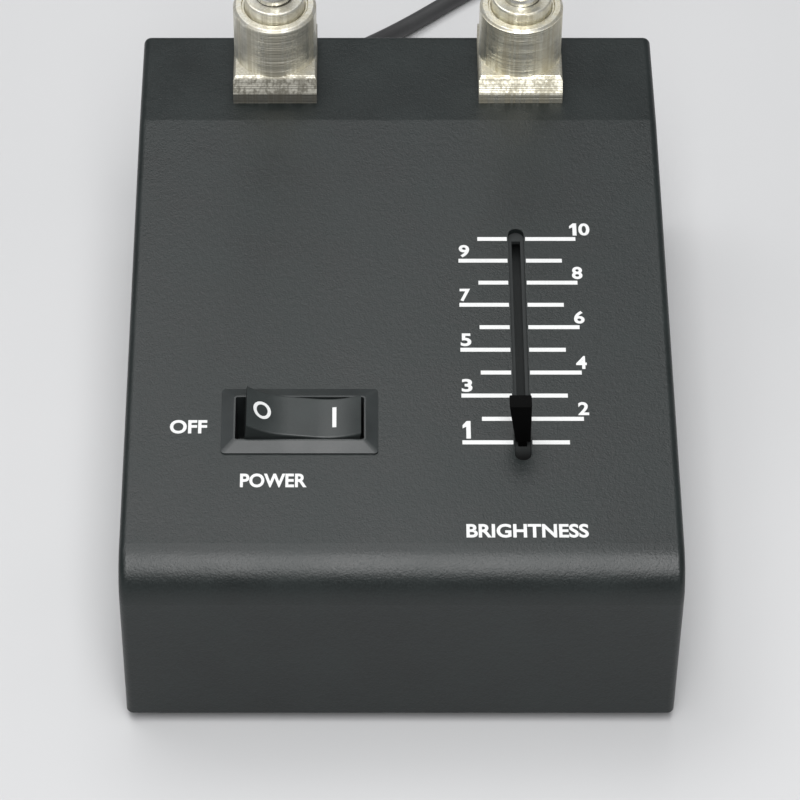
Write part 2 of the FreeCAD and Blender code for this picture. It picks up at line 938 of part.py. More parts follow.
def middle_pivot():
    out, up = lower_end()
    turn = math.radians(lower_turn)
    return out + neck_standoff * math.sin(turn), up + neck_standoff * math.cos(turn)


def hollow_neck(path, centre):
    """The neck along a path, with a ball at its first end."""
    solid = tube(path, neck_radius).fuse(Part.makeSphere(neck_radius, centre))
    edge = path.OrderedEdges[0]
    heading = edge.tangentAt(edge.FirstParameter)
    inner = tube(path, neck_bore).fuse(rod(neck_bore, neck_radius + cut_overrun, centre, -heading))
    return solid.cut(inner).removeSplitter()


def neck_lower(side):
    base = arm_point(side, 0, root_top())
    bend = arm_point(side, 0, root_top() + neck_straight)
    half = math.radians(lower_turn / 2)
    turn = math.radians(lower_turn)
    middle = arm_point(side, neck_sweep * (1 - math.cos(half)),
                       root_top() + neck_straight + neck_sweep * math.sin(half))
    end = arm_point(side, *lower_end())
    path = Part.Wire([Part.LineSegment(base, bend).toShape(), Part.Arc(bend, middle, end).toShape()])
    return dished(hollow_neck(path, base), arm_point(side, *middle_pivot()))


def upper_points():
    """Pivot, bend start, bend middle, bend end and neck end, as (out, up)."""
    out, up = middle_pivot()
    lean = math.radians(lower_turn)
    full = math.radians(lower_turn + upper_turn)
    half = math.radians(lower_turn + upper_turn / 2)
    start = (out + upper_lead * math.sin(lean), up + upper_lead * math.cos(lean))

    def bent(angle):
        return (
            start[0] + neck_sweep * (math.cos(lean) - math.cos(angle)),
            start[1] + neck_sweep * (math.sin(angle) - math.sin(lean)),
        )

    end = bent(full)
    last = (end[0] + upper_tail * math.sin(full), end[1] + upper_tail * math.cos(full))
    return (out, up), start, bent(half), end, last


def neck_upper(side):
    pivot, start, middle, end, last = (arm_point(side, *p) for p in upper_points())
    path = Part.Wire([
        Part.LineSegment(pivot, start).toShape(),
        Part.Arc(start, middle, end).toShape(),
        Part.LineSegment(end, last).toShape(),
    ])
    return hollow_neck(path, pivot)


def on_head(shape, side):
    """Carries a shape from the head's own axis, rear end at z = 0, to the end of the neck."""
    lean = lower_turn + upper_turn
    last = arm_point(side, *upper_points()[-1])
    heading = arm_heading(side, lean)
    start = last - heading * head_socket
    return along(shape, (start.x, start.y, start.z), (heading.x, heading.y, heading.z))


def head_shell(side):
    """A turned shell with a collar for the neck, cooling grooves and an open front."""
    r = head_radius
    body_start = head_collar_length + head_shoulder
    outline = [
        (neck_radius + seat_gap, 0), (head_collar_radius - block_chamfer, 0),
        (head_collar_radius, block_chamfer), (head_collar_radius, head_collar_length), (r, body_start),
    ]
    root = r - head_fin_depth
    for k in range(head_fins):
        z = head_fin_start + k * head_fin_pitch
        outline += [(r, z), (root, z), (root, z + head_fin_gap), (r, z + head_fin_gap)]
    inner = r - head_wall
    floor = head_length - head_cavity
    outline += [
        (r, head_length), (inner, head_length), (inner, floor), (neck_bore, floor),
        (neck_bore, head_socket), (neck_radius + seat_gap, head_socket),
    ]
    return on_head(revolved(outline), side)


def head_ring(side):
    """The screwed front ring that holds the lens."""
    start = head_length - ring_length + ring_lip_depth
    front = head_length + ring_lip_depth + seat_gap
    hold = head_radius + seat_gap
    outline = [
        (hold, start), (ring_radius, start), (ring_radius, front - block_chamfer),
        (ring_radius - block_chamfer, front), (head_radius - ring_lip, front),
        (head_radius - ring_lip, head_length + seat_gap), (hold, head_length + seat_gap),
    ]
    return on_head(revolved(outline), side)


def head_lens(side):
    """A flat-backed lens with a domed front, held behind the ring's lip."""
    r = head_radius - head_wall - seat_gap
    back = head_length - lens_thickness
    clear = head_radius - ring_lip - seat_gap
    steps = 6
    outline = [(0, back), (r, back), (r, head_length), (clear, head_length)]
    for k in range(1, steps):
        share = math.radians(90 * k / steps)
        outline.append((clear * math.cos(share), head_length + lens_crown * math.sin(share)))
    outline.append((0, head_length + lens_crown))
    return on_head(revolved(outline), side)


def head_light(side):
    """The light-emitting chip on its round board."""
    r = head_radius - head_wall - seat_gap
    floor = head_length - head_cavity + seat_gap
    top = floor + led_board_thickness
    outline = [
        (0, floor), (r, floor), (r, top), (led_radius, top), (led_radius, top + led_radius / 2),
        (led_radius / 2, top + led_radius), (0, top + led_radius),
    ]
    return on_head(revolved(outline), side)


def strain_relief():
    """A flanged, ringed and tapered sleeve, snapped into the rear wall round the cord."""
    length = relief_length
    inner = -sheet - relief_inner_depth
    wall = -sheet - hole_gap
    outline = [
        (cord_radius, inner), (relief_inner - relief_ring_depth, inner),
        (relief_inner, wall - relief_ring_depth), (relief_inner, wall),
        (relief_groove, wall), (relief_groove, 0),
        (relief_flange, 0), (relief_flange, relief_flange_depth), (relief_neck_radius, relief_flange_depth),
    ]
    taper = (relief_neck_radius - relief_tip_radius) / (length - relief_flange_depth)
    for k in range(relief_rings):
        z = relief_flange_depth + relief_ring_gap + k * relief_ring_pitch
        r = relief_neck_radius - taper * (z - relief_flange_depth)
        root = r - relief_ring_depth
        outline += [(r, z), (root, z), (root, z + relief_ring_gap), (r, z + relief_ring_gap)]
    outline += [(relief_tip_radius, length), (cord_radius, length)]
    sleeve = revolved(outline)
    return along(sleeve, (relief_x, rear_y, relief_z), (0, 1, 0))


def cord_inside():
    """The cord's held end, through the sleeve and just into the case."""
    back = rear_y - sheet - relief_inner_depth - lead_grip
    return rod(cord_radius, rear_y + relief_length - back, (relief_x, back, relief_z), (0, 1, 0))


def route_radii(points):
    radii = []
    for i in range(1, len(points) - 1):
        back = points[i - 1] - points[i]
        ahead = points[i + 1] - points[i]
        half_turn = (math.pi - back.getAngle(ahead)) / 2
        radii.append(cord_arc_share * min(back.Length, ahead.Length) / math.tan(half_turn))
    return radii


def power_cord():
    points = [Vector(*p) for p in cord_route]
    radii = route_radii(points)
    print("cord bend radii", [round(r, 1) for r in radii])
    path = rounded_path(points, radii)
    solid = tube(path, cord_radius)
    section = math.pi * cord_radius ** 2
    print("cord volume / section x length", round(solid.Volume / (section * path.Length), 4))
    print("cord free length", round(path.Length, 1))
    return solid


def coil_place(turns):
    """The coil's centre line after a number of turns: in, half a turn up a layer, and out."""
    inner = coil_outer - coil_loops * coil_pitch
    z = cord_radius
    if turns <= coil_loops:
        radius = coil_outer - coil_pitch * turns
    elif turns <= coil_loops + coil_climb:
        share = (turns - coil_loops) / coil_climb
        radius = inner - coil_pitch * share * (1 - share) / 2
        z += coil_pitch * share * share * (3 - 2 * share)
    else:
        radius = inner + coil_pitch * (turns - coil_loops - coil_climb)
        z += coil_pitch
    angle = 2 * math.pi * turns - math.pi / 2
    return Vector(coil_x + radius * math.cos(angle), coil_y + radius * math.sin(angle), z)


def coil_turns():
    return 2 * coil_loops + coil_climb


def coil_heading(turns):
    step = coil_turns() / coil_samples ** 2
    return (coil_place(turns + step) - coil_place(turns - step)).normalize()


def arc_by_tangent(start, corner, end):
    """The arc from start to end whose end tangents meet at corner."""
    chord = (start + end) / 2
    rise = corner - chord
    half = (end - start).Length / 2
    sagitta = half * math.tan(math.atan2(rise.Length, half) / 2)
    return Part.Arc(start, chord + rise.normalize() * sagitta, end)


def biarc(start, heading, end, last_heading):
    """Two arcs that join start to end and follow both headings."""
    span = end - start
    total = heading + last_heading
    a = total.dot(total) - 4
    b = -2 * span.dot(total)
    c = span.dot(span)
    reach = (-b - math.sqrt(b * b - 4 * a * c)) / (2 * a)
    first = start + heading * reach
    second = end - last_heading * reach
    joint = (first + second) / 2
    return [arc_by_tangent(start, first, joint), arc_by_tangent(joint, second, end)]


def power_cord_coil():
    """The put-away length in two layers, and a short straight end into the plug."""
    total = coil_turns()
    count = round(4 * total)
    arcs = []
    for k in range(count):
        here = total * k / count
        there = total * (k + 1) / count
        start_heading = Vector(1, 0, 0) if k == 0 else coil_heading(here)
        end_heading = Vector(-1, 0, 0) if k == count - 1 else coil_heading(there)
        arcs += biarc(coil_place(here), start_heading, coil_place(there), end_heading)
    first = coil_place(0)
    last = coil_place(total)
    lead_in = Part.LineSegment(first - Vector(2 * cord_radius, 0, 0), first).toShape()
    lead_out = Part.LineSegment(last, last - Vector(2 * cord_radius, 0, 0)).toShape()
    edges = [lead_in] + [a.toShape() for a in arcs] + [lead_out]
    path = Part.Wire(edges)
    samples = [coil_place(total * k / coil_samples) for k in range(coil_samples + 1)]
    half_turn = round(coil_samples / total / 2)
    least = min(
        (samples[i] - samples[j]).Length
        for i in range(0, coil_samples, 2) for j in range(i + half_turn, coil_samples + 1, 2)
    )
    print("coil length", round(path.Length, 1), "least gap", round(least - 2 * cord_radius, 2))
    return tube(path, cord_radius)


def plug_start():
    return coil_place(coil_turns()) - Vector(2 * cord_radius, 0, 0)


def power_plug():
    """A moulded two-blade plug with a waisted grip and a tapered sleeve."""
    mouth = cord_radius + relief_ring_depth
    length = plug_relief_length
    sleeve = revolved([(0, 0), (mouth, 0), (relief_neck_radius, length), (0, length)])
    thick = cord_radius + coil_pitch
    wires = []
    stations = (
        (0, plug_width / 2, thick), (plug_length / 4, plug_width, 2 * thick),
        (plug_length / 2, plug_width - 2 * plug_waist, 2 * thick - plug_waist),
        (3 * plug_length / 4, plug_width, 2 * thick), (plug_length, plug_width, 2 * thick),
    )
    for z, width, height in stations:
        corner = min(plug_corner, height / 3)
        wires.append(rounded_wire(*rectangle(height, width, corner, plug_relief_length + z)))
    body = Part.makeLoft(wires, True, True)
    start = plug_start()
    return along(sleeve.fuse(body).removeSplitter(), (start.x, start.y, start.z), (-1, 0, 0))


def plug_pins():
    start = plug_start()
    x = start.x - plug_relief_length - plug_length - pin_blade_length
    solids = []
    for side in (-1, 1):
        y = start.y + side * pin_blade_spacing / 2
        solids.append(box((x, y - pin_blade_thickness / 2, start.z - pin_blade_width / 2),
                          (pin_blade_length, pin_blade_thickness, pin_blade_width)))
    return Part.makeCompound(solids)


def panel_point(x, u, n):
    turn = FreeCAD.Rotation(Vector(1, 0, 0), panel_tilt)
    return Vector(0, front_y, corner_z) + turn.multVec(Vector(x, u, n))


def lead(points):
    return tube(rounded_path(points, [lead_bend] * (len(points) - 2)), lead_radius)


def to_board(start, turn, over):
    """A lead that hangs from start to turn, crosses at that height and ends on the board at over."""
    x, y = over
    return lead([start, turn, Vector(x, y, turn.z), Vector(x, y, board_top + part_gap)])


def switch_leads():
    front = board_front + lead_margin
    end = -switch_depth - blade_length - part_gap
    solids = []
    for k in (0, 1):
        x = switch_x + (2 * k - 1) * blade_spacing
        pad = switch_pad_x + 2 * k * blade_spacing
        start = panel_point(x, switch_u, end)
        solids.append(to_board(start, panel_point(x, switch_u, end - switch_lead_drop), (pad, front)))
    return Part.makeCompound(solids)


def control_leads():
    front = board_front + lead_margin
    end = control_top() - control_depth - lug_length - part_gap
    near, middle, far = control_lug_places()
    runs = (
        (near, 2 * lead_hang, (slider_x, front)),
        (middle, lead_hang, (slider_x + lead_step, front)),
        (far, lead_hang, (slider_x, control_pad_y)),
    )
    solids = []
    for u, drop, over in runs:
        solids.append(to_board(panel_point(slider_x, u, end), panel_point(slider_x, u, end - drop), over))
    return Part.makeCompound(solids)


def mains_leads():
    """Two cores from the cord's held end into the terminal block."""
    back = rear_y - sheet - relief_inner_depth - lead_grip
    z = board_top + part_gap + terminal_height / 4
    solids = []
    for k in (0, 1):
        x = terminal_x + (k - (terminal_count - 1) / 2) * terminal_pitch
        from_x = relief_x + (2 * k - 1) * mains_lead_offset
        run = (back - terminal_face) / 3
        points = [
            Vector(from_x, back, relief_z), Vector(from_x, back - run, relief_z),
            Vector(x, terminal_face + run, z), Vector(x, terminal_face - lead_grip, z),
        ]
        solids.append(lead(points))
    return Part.makeCompound(solids)


def arm_leads():
    """The cores of each arm, from the foot of its neck down to the rear of the board."""
    rear = board_rear - lead_margin
    solids = []
    for side in (-1, 1):
        start = arm_point(side, 0, lead_grip - neck_root_drop)
        turn = arm_point(side, 0, -neck_root_drop - arm_lead_drop)
        solids.append(to_board(start, turn, (start.x, rear)))
    return Part.makeCompound(solids)


def save(name, shape):
    if not shape.isValid():
        print("not valid:", name)
    shape.exportStep("parts/" + name + ".step")
    print(name, len(shape.Solids), round(shape.Volume, 1))


def main():
    os.makedirs("parts", exist_ok=True)
    save("cover", cover())
    save("base_plate", base_plate())
    save("cover_screws", cover_screws())
    save("rubber_feet", rubber_feet())
    save("foot_screws", foot_screws())
    save("switch_housing", switch_housing())
    save("switch_rocker", rocker())
    save("switch_terminals", switch_terminals())
    save("control_case", control_case())
    save("control_nuts", control_nuts())
    save("control_terminals", control_terminals())
    save("slider_carriage", slider_carriage())
    save("slider_knob", slider_knob())
    save("driver_board", driver_board())
    save("board_spacers", board_spacers())
    save("board_screws", board_screws())
    save("transformer", transformer())
    save("capacitors", capacitors())
    save("heat_sink", heat_sink())
    save("transistors", transistors())
    save("terminal_block", terminal_block())
    save("switch_leads", switch_leads())
    save("control_leads", control_leads())
    save("mains_leads", mains_leads())
    save("arm_leads", arm_leads())
    for side, word in ((-1, "left"), (1, "right")):
        save(word + "_arm_base", arm_base(side))
        save(word + "_arm_lock_nut", arm_lock_nut(side))
        save(word + "_arm_back_nut", arm_back_nut(side))
        save(word + "_neck_root", neck_root(side))
        save(word + "_neck_lower", neck_lower(side))
        save(word + "_neck_upper", neck_upper(side))
        save(word + "_head_shell", head_shell(side))
        save(word + "_head_ring", head_ring(side))
        save(word + "_head_lens", head_lens(side))
        save(word + "_head_light", head_light(side))
    save("strain_relief", strain_relief())
    save("cord_inside", cord_inside())
    save("power_cord", power_cord())
    save("power_cord_coil", power_cord_coil())
    save("power_plug", power_plug())
    save("plug_pins", plug_pins())


main()
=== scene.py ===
# %% [markdown]
# # A bench lamp's control box with two flexible light arms
# The real object is a small box folded from steel sheet. Its sloping panel holds a rocker switch and a
# brightness slider, and two bright metal fittings at the back carry bendable arms with a lamp head each.
# The measured solids come from a CAD model, which loads first as a fixed frame. This lesson then gives
# every piece its finish, and builds the ones that a solid can't show: cord, wound necks, lettering.

# %% Open the measured model
import math

import bpy
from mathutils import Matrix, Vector
from mathutils.bvhtree import BVHTree


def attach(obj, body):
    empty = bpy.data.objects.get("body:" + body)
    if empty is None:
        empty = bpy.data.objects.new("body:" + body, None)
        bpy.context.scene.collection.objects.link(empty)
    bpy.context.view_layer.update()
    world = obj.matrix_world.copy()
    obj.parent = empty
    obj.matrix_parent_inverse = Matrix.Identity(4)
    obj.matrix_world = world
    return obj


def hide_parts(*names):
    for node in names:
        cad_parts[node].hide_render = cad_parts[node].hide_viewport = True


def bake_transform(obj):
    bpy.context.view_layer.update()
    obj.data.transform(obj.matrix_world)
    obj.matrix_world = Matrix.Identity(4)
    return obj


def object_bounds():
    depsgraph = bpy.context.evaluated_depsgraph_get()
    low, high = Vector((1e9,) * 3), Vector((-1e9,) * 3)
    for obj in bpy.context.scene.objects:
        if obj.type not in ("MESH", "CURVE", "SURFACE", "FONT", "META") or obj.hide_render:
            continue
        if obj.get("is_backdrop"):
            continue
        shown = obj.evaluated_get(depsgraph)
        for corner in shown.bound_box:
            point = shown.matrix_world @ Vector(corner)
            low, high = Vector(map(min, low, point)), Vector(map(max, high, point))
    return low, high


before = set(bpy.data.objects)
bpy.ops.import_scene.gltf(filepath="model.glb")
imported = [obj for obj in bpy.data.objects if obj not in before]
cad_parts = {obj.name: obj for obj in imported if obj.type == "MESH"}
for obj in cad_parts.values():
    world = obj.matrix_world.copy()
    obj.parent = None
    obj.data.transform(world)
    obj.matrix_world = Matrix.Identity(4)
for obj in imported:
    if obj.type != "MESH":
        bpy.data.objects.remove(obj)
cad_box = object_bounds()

# %% [markdown]
# Blender works in metres and the maker's drawing in millimetres. One helper turns a drawing's numbers into
# a place in the scene, and a second one does the same on the sloping panel, where a place is simplest to
# give as across, up the slope, and out from the paint.

# %% Places in millimetres
MM = 0.001
PANEL_TILT = math.radians(5.2)
FRONT_Y, REAR_Y, CORNER_Z = -73.15, 73.15, 44.6
PANEL_RUN = 118.8
ROOF_Z = CORNER_Z + PANEL_RUN * math.tan(PANEL_TILT)


def at(x, y, z):
    return Vector((x, y, z)) * MM


def on_panel(x, up, out=0.0):
    across = math.cos(PANEL_TILT) * up - math.sin(PANEL_TILT) * out
    rise = math.sin(PANEL_TILT) * up + math.cos(PANEL_TILT) * out
    return at(x, FRONT_Y + across, CORNER_Z + rise)


print("panel's upper edge is at", [round(v, 4) for v in on_panel(0, PANEL_RUN / math.cos(PANEL_TILT))])

# %% [markdown]
# The picture was taken from in front, looking down at about 47 degrees through a long lens. The box's edges
# run together only a little, and the amount gives the distance. The frame is a crop of a larger picture,
# so the lens is shifted sideways a little instead of turning the camera, which keeps the edges upright.
# Every object that is made here joins the scene through one helper, and the camera is the first.

# %% Camera
FRAME_PIXELS, FOCAL_PIXELS, SHIFT_PIXELS = 800, 3720, 42
CAMERA_PLACE, CAMERA_DIP = at(-8.5, -540.95, 589.1), 46.6


def in_scene(name, data):
    """A new object that shows this data, linked to the scene."""
    made = bpy.data.objects.new(name, data)
    bpy.context.scene.collection.objects.link(made)
    return made


lens = bpy.data.cameras.new("camera")
lens.sensor_width = 36.0
lens.lens = FOCAL_PIXELS / FRAME_PIXELS * lens.sensor_width
lens.shift_x = SHIFT_PIXELS / FRAME_PIXELS
camera = in_scene("camera", lens)
camera.location = CAMERA_PLACE
camera.rotation_euler = (math.radians(90 - CAMERA_DIP), 0, 0)
bpy.context.scene.camera = camera
print("lens", round(lens.lens, 1), "mm")

# %% [markdown]
# A material is a small network of nodes. Wiring one by hand takes many lines, so a class stands for a
# node's output and lets Python's own signs build the sums: `1 - mask` adds a Math node. A second class
# stands for the whole finish, with one method for any other kind of node.

# %% Shader sums written as Python


class Signal:
    """One output of a node."""

    def __init__(self, finish, socket):
        self.finish, self.socket = finish, socket

    def maths(self, operation, first, second):
        return self.finish.node("Math", {"operation": operation}, {0: first, 1: second})

    def __add__(self, other):
        return self.maths("ADD", self, other)

    def __radd__(self, other):
        return self.maths("ADD", other, self)

    def __sub__(self, other):
        return self.maths("SUBTRACT", self, other)

    def __rsub__(self, other):
        return self.maths("SUBTRACT", other, self)

    def __mul__(self, other):
        return self.maths("MULTIPLY", self, other)

    def __rmul__(self, other):
        return self.maths("MULTIPLY", other, self)


class Finish:
    """A material under construction, with lengths in millimetres on the object."""

    def __init__(self, name):
        self.material = bpy.data.materials.new(name)
        self.material.use_nodes = True
        self.tree = self.material.node_tree
        self.shader = self.tree.nodes["Principled BSDF"]
        raw = self.node("TexCoord", {}, {}, out="Object")
        self.place = self.node("VectorMath", {"operation": "SCALE"}, {0: raw, "Scale": 1 / MM})

    def node(self, kind, settings, sockets, out=0):
        made = self.tree.nodes.new("ShaderNode" + kind)
        for name, value in settings.items():
            setattr(made, name, value)
        for name, value in sockets.items():
            self.feed(made.inputs[name], value)
        return Signal(self, made.outputs[out])

    def along(self, heading):
        """Millimetres along a direction, as a vector that only changes along it."""
        run = self.node("VectorMath", {"operation": "DOT_PRODUCT"}, {0: self.place, 1: heading}, out="Value")
        return self.node("CombineXYZ", {}, {"X": run})

    def feed(self, socket, value):
        if isinstance(value, Signal):
            self.tree.links.new(value.socket, socket)
        else:
            socket.default_value = value

    def surface(self, **inputs):
        for name, value in inputs.items():
            self.feed(self.shader.inputs[name.replace("_", " ")], value)
        return self.material

    def grain(self, size, stretch=(1, 1, 1), detail=2.0, where=None):
        """Noise whose spots are about this many millimetres, from 0 to 1."""
        scale = tuple(1 / (size * s) for s in stretch)
        spot = self.node("VectorMath", {"operation": "MULTIPLY"}, {0: where or self.place, 1: scale})
        return self.node("TexNoise", {}, {"Vector": spot, "Scale": 1.0, "Detail": detail})

    def ramp(self, value, low, high, first=0.0, last=1.0):
        """Runs from first to last while value goes from low to high."""
        return self.node("MapRange", {"interpolation_type": "SMOOTHSTEP"}, {
            "Value": value, "From Min": low, "From Max": high, "To Min": first, "To Max": last})

    def blend(self, amount, first, second):
        return self.node("Mix", {"data_type": "RGBA"}, {0: amount, 6: first, 7: second}, out=2)

    def bump(self, height, depth):
        """Turns a height of 0 to 1 into a relief this many millimetres deep."""
        return self.node("Bump", {}, {"Height": height, "Distance": depth * MM, "Strength": 1.0})


def rgb(red, green, blue):
    return (red, green, blue, 1.0)


# %% [markdown]
# Many small parts are moulded or rolled goods whose finish differs only in colour, gloss and grain. One
# helper makes those: a base colour that drifts a little, a roughness that drifts with it, and a fine relief.

# %% Simple goods


def satin(name, colour, roughness, grain=0.5, relief=0.01, drift=0.12, metallic=0.0,
          stretch=(1, 1, 1), shine=0.5):
    """One plain finish, with its grain and relief in millimetres."""
    finish = Finish(name)
    cloud = finish.grain(9.0, detail=3.0)
    fine = finish.grain(grain, stretch=stretch)
    darker = rgb(*(c * (1 - drift) for c in colour))
    lighter = rgb(*(min(1.0, c * (1 + drift)) for c in colour))
    return finish.surface(
        Base_Color=finish.blend(finish.ramp(cloud * 0.6 + fine * 0.4, 0.3, 0.7), darker, lighter),
        Roughness=finish.ramp(cloud, 0.3, 0.7, roughness * 0.9, roughness * 1.1),
        Metallic=metallic,
        Specular_IOR_Level=shine,
        Normal=finish.bump(fine, relief),
    )


# %% [markdown]
# Powder coat is sprayed as dry plastic dust and baked. It flows into a fine orange-peel with a few larger
# grains, dark but not black, and it spreads a light over it into a soft sheen. Two sizes of noise make the
# relief, and the sheen and the colour drift a little with them.

# %% Powder coat
COAT_COLOUR = (0.0115, 0.0155, 0.0152)
COAT_GRAIN, COAT_PEEL, COAT_CLOUD, COAT_RELIEF = 0.38, 1.1, 14.0, 0.085


def powder_coat(name, colour):
    finish = Finish(name)
    grains = finish.grain(COAT_GRAIN, detail=2.0)
    peel = finish.grain(COAT_PEEL, detail=1.0)
    cloud = finish.grain(COAT_CLOUD, detail=4.0)
    relief = grains * 0.6 + peel * 0.4
    low = rgb(*(c * 0.72 for c in colour))
    high = rgb(*(c * 1.3 for c in colour))
    tone = finish.ramp(cloud * 0.45 + grains * 0.55, 0.32, 0.68)
    return finish.surface(
        Base_Color=finish.blend(tone, low, high),
        Roughness=finish.ramp(cloud * 0.5 + grains * 0.5, 0.34, 0.66, 0.34, 0.42),
        Specular_IOR_Level=0.43,
        Normal=finish.bump(relief, COAT_RELIEF),
    )


coat = powder_coat("powder_coat", COAT_COLOUR)
base_coat = powder_coat("base_coat", COAT_COLOUR)
print("coated", coat.name, "and", base_coat.name)

# %% [markdown]
# The two fittings are turned from brass and nickel plated. The lathe leaves rings so fine that no eye sees
# them, but they tip the metal up and down and draw every reflection out into upright streaks, so the
# barrels look pale even where they face the dark panel. Thin rings of noise that only change with height
# do the same here, and a second noise, stretched along Z, paints darker reflection streaks into the colour
# over them. The square block at a fitting's foot is given a darker, rougher colour than the barrel.

# %% Nickel
BLOCK_HEIGHT, BARREL_HEIGHT = 5.2, 12.6
FOOT_STARTS, FOOT_ENDS = ROOF_Z + BLOCK_HEIGHT - 0.6, ROOF_Z + BLOCK_HEIGHT + 0.2
FOOT_ROUGHER = 0.3


def turned_nickel(name, pale, dull, roughness, rings, ring_relief, foot=1.0):
    """Streaked nickel; foot is how much of its colour the lowest block keeps."""
    finish = Finish(name)
    ring = finish.grain(rings, stretch=(400, 400, 1), detail=1.0)
    lines = finish.grain(0.55, stretch=(1, 1, 90), detail=2.0)
    broad = finish.grain(2.2, stretch=(1, 1, 30), detail=1.0)
    reflection_blotch = finish.grain(3.0, detail=3.0)
    # Painted reflection: darker upright streaks in the colour stand in for the streaked reflections of the
    # turned metal.
    painted_reflection_streak = finish.ramp(lines * 0.45 + broad * 0.35 + reflection_blotch * 0.2, 0.38, 0.62)
    height = finish.node("SeparateXYZ", {}, {"Vector": finish.place}, out="Z")
    # The lowest block's colour is made darker and its roughness higher than the barrel's.
    low_down = (1 - finish.ramp(height, FOOT_STARTS, FOOT_ENDS)) * (1 - foot)
    reflection_streaked_colour = finish.blend(painted_reflection_streak, rgb(*dull), rgb(*pale))
    gloss = finish.ramp(painted_reflection_streak, 0.0, 1.0, roughness * 1.25, roughness * 0.8)
    return finish.surface(
        Base_Color=finish.blend(low_down, reflection_streaked_colour, rgb(*(c * foot for c in dull))),
        Roughness=gloss + low_down * FOOT_ROUGHER,
        Metallic=1.0,
        Normal=finish.bump(ring, ring_relief),
    )


fitting_nickel = turned_nickel(
    "fitting_nickel", (0.97, 0.95, 0.84), (0.7, 0.66, 0.53), 0.46, 0.2, 0.2, foot=0.52)
dark_foot_nickel = turned_nickel(
    "dark_foot_nickel", (0.95, 0.93, 0.84), (0.68, 0.65, 0.55), 0.48, 0.2, 0.2, foot=0.2)
neck_nickel = turned_nickel("neck_nickel", (0.72, 0.71, 0.67), (0.55, 0.54, 0.5), 0.3, 2.0, 0.0)
print("plated", fitting_nickel.name, dark_foot_nickel.name, neck_nickel.name)

# %% [markdown]
# The other solids are bought parts and small hardware. A table gives each kind its colour and gloss. Two
# need a recipe of their own: the slide control's case, which is charcoal with painted shade, near black, at
# the low end of the slot in front of the lever, and the clear lens, where light passes through and only the
# roughness drifts.

# %% Goods for every other solid
goods = {
    "zinc": satin("zinc", (0.62, 0.62, 0.6), 0.34, metallic=1.0, relief=0.004),
    "feet": satin("feet", (0.028, 0.028, 0.03), 0.72, grain=0.3, relief=0.02),
    "bezel": satin("bezel", (0.022, 0.026, 0.0262), 0.42, grain=0.22, relief=0.012, drift=0.25),
    "rocker": satin("rocker", (0.026, 0.031, 0.0305), 0.42, grain=0.22, relief=0.012, drift=0.25),
    "brass": satin("brass", (0.72, 0.66, 0.5), 0.3, metallic=1.0, relief=0.004),
    "knob": satin("knob", (0.0015, 0.0015, 0.0015), 0.75, grain=0.2, relief=0.01, shine=0.08),
    "acetal": satin("acetal", (0.002, 0.002, 0.002), 0.7, shine=0.1),
    "insulation": satin("insulation", (0.3, 0.02, 0.015), 0.4),
    "board": satin("board", (0.02, 0.13, 0.06), 0.4),
    "laminations": satin("laminations", (0.1, 0.1, 0.105), 0.5, grain=0.5, stretch=(30, 30, 1), relief=0.05),
    "can": satin("can", (0.03, 0.06, 0.2), 0.3),
    "epoxy": satin("epoxy", (0.02, 0.02, 0.02), 0.5),
    "sink": satin("sink", (0.7, 0.71, 0.73), 0.36, metallic=1.0, stretch=(1, 1, 40), relief=0.01),
    "block": satin("block", (0.05, 0.22, 0.1), 0.42),
    "aluminium": satin("aluminium", (0.66, 0.66, 0.64), 0.32, metallic=1.0, relief=0.006),
    "light_board": satin("light_board", (0.85, 0.83, 0.6), 0.4),
    "sheath": satin("sheath", (0.042, 0.042, 0.043), 0.48, grain=0.6, relief=0.02),
    "plug": satin("plug", (0.02, 0.02, 0.021), 0.4, grain=0.3, relief=0.02),
    "pins": satin("pins", (0.7, 0.68, 0.64), 0.25, metallic=1.0, relief=0.003),
}

# Painted shade: the case is near black at the low end of the slot, in front of the lever, and charcoal further
# up.
PAINTED_SHADE_TO, CHARCOAL_FROM = FRONT_Y + 29.5, FRONT_Y + 34.0
case_black = Finish("control_case")
case_cloud = case_black.grain(4.0, detail=3.0)
case_run = case_black.node("SeparateXYZ", {}, {"Vector": case_black.place}, out="Y")
out_of_painted_shade = case_black.ramp(case_run, PAINTED_SHADE_TO, CHARCOAL_FROM)
goods["blackened"] = case_black.surface(
    Base_Color=case_black.blend(out_of_painted_shade, rgb(0.001, 0.001, 0.001), rgb(0.035, 0.038, 0.038)),
    Roughness=case_black.ramp(case_cloud, 0.3, 0.7, 0.62, 0.75), Specular_IOR_Level=0.15)

clear = Finish("lens_glass")
goods["lens"] = clear.surface(
    Base_Color=rgb(0.96, 0.98, 1.0), Roughness=clear.ramp(clear.grain(2.0), 0.3, 0.7, 0.03, 0.07),
    Transmission_Weight=1.0, IOR=1.49)
print("mixed", len(goods), "goods")

# %% [markdown]
# Every solid gets the finish of the real piece, the ones inside the box too, because a viewer may open it.
# One table is enough. A name that isn't in the table is looked up again without its first word, so the left
# and the right arm share a line, except for the fittings, whose two nickels differ.

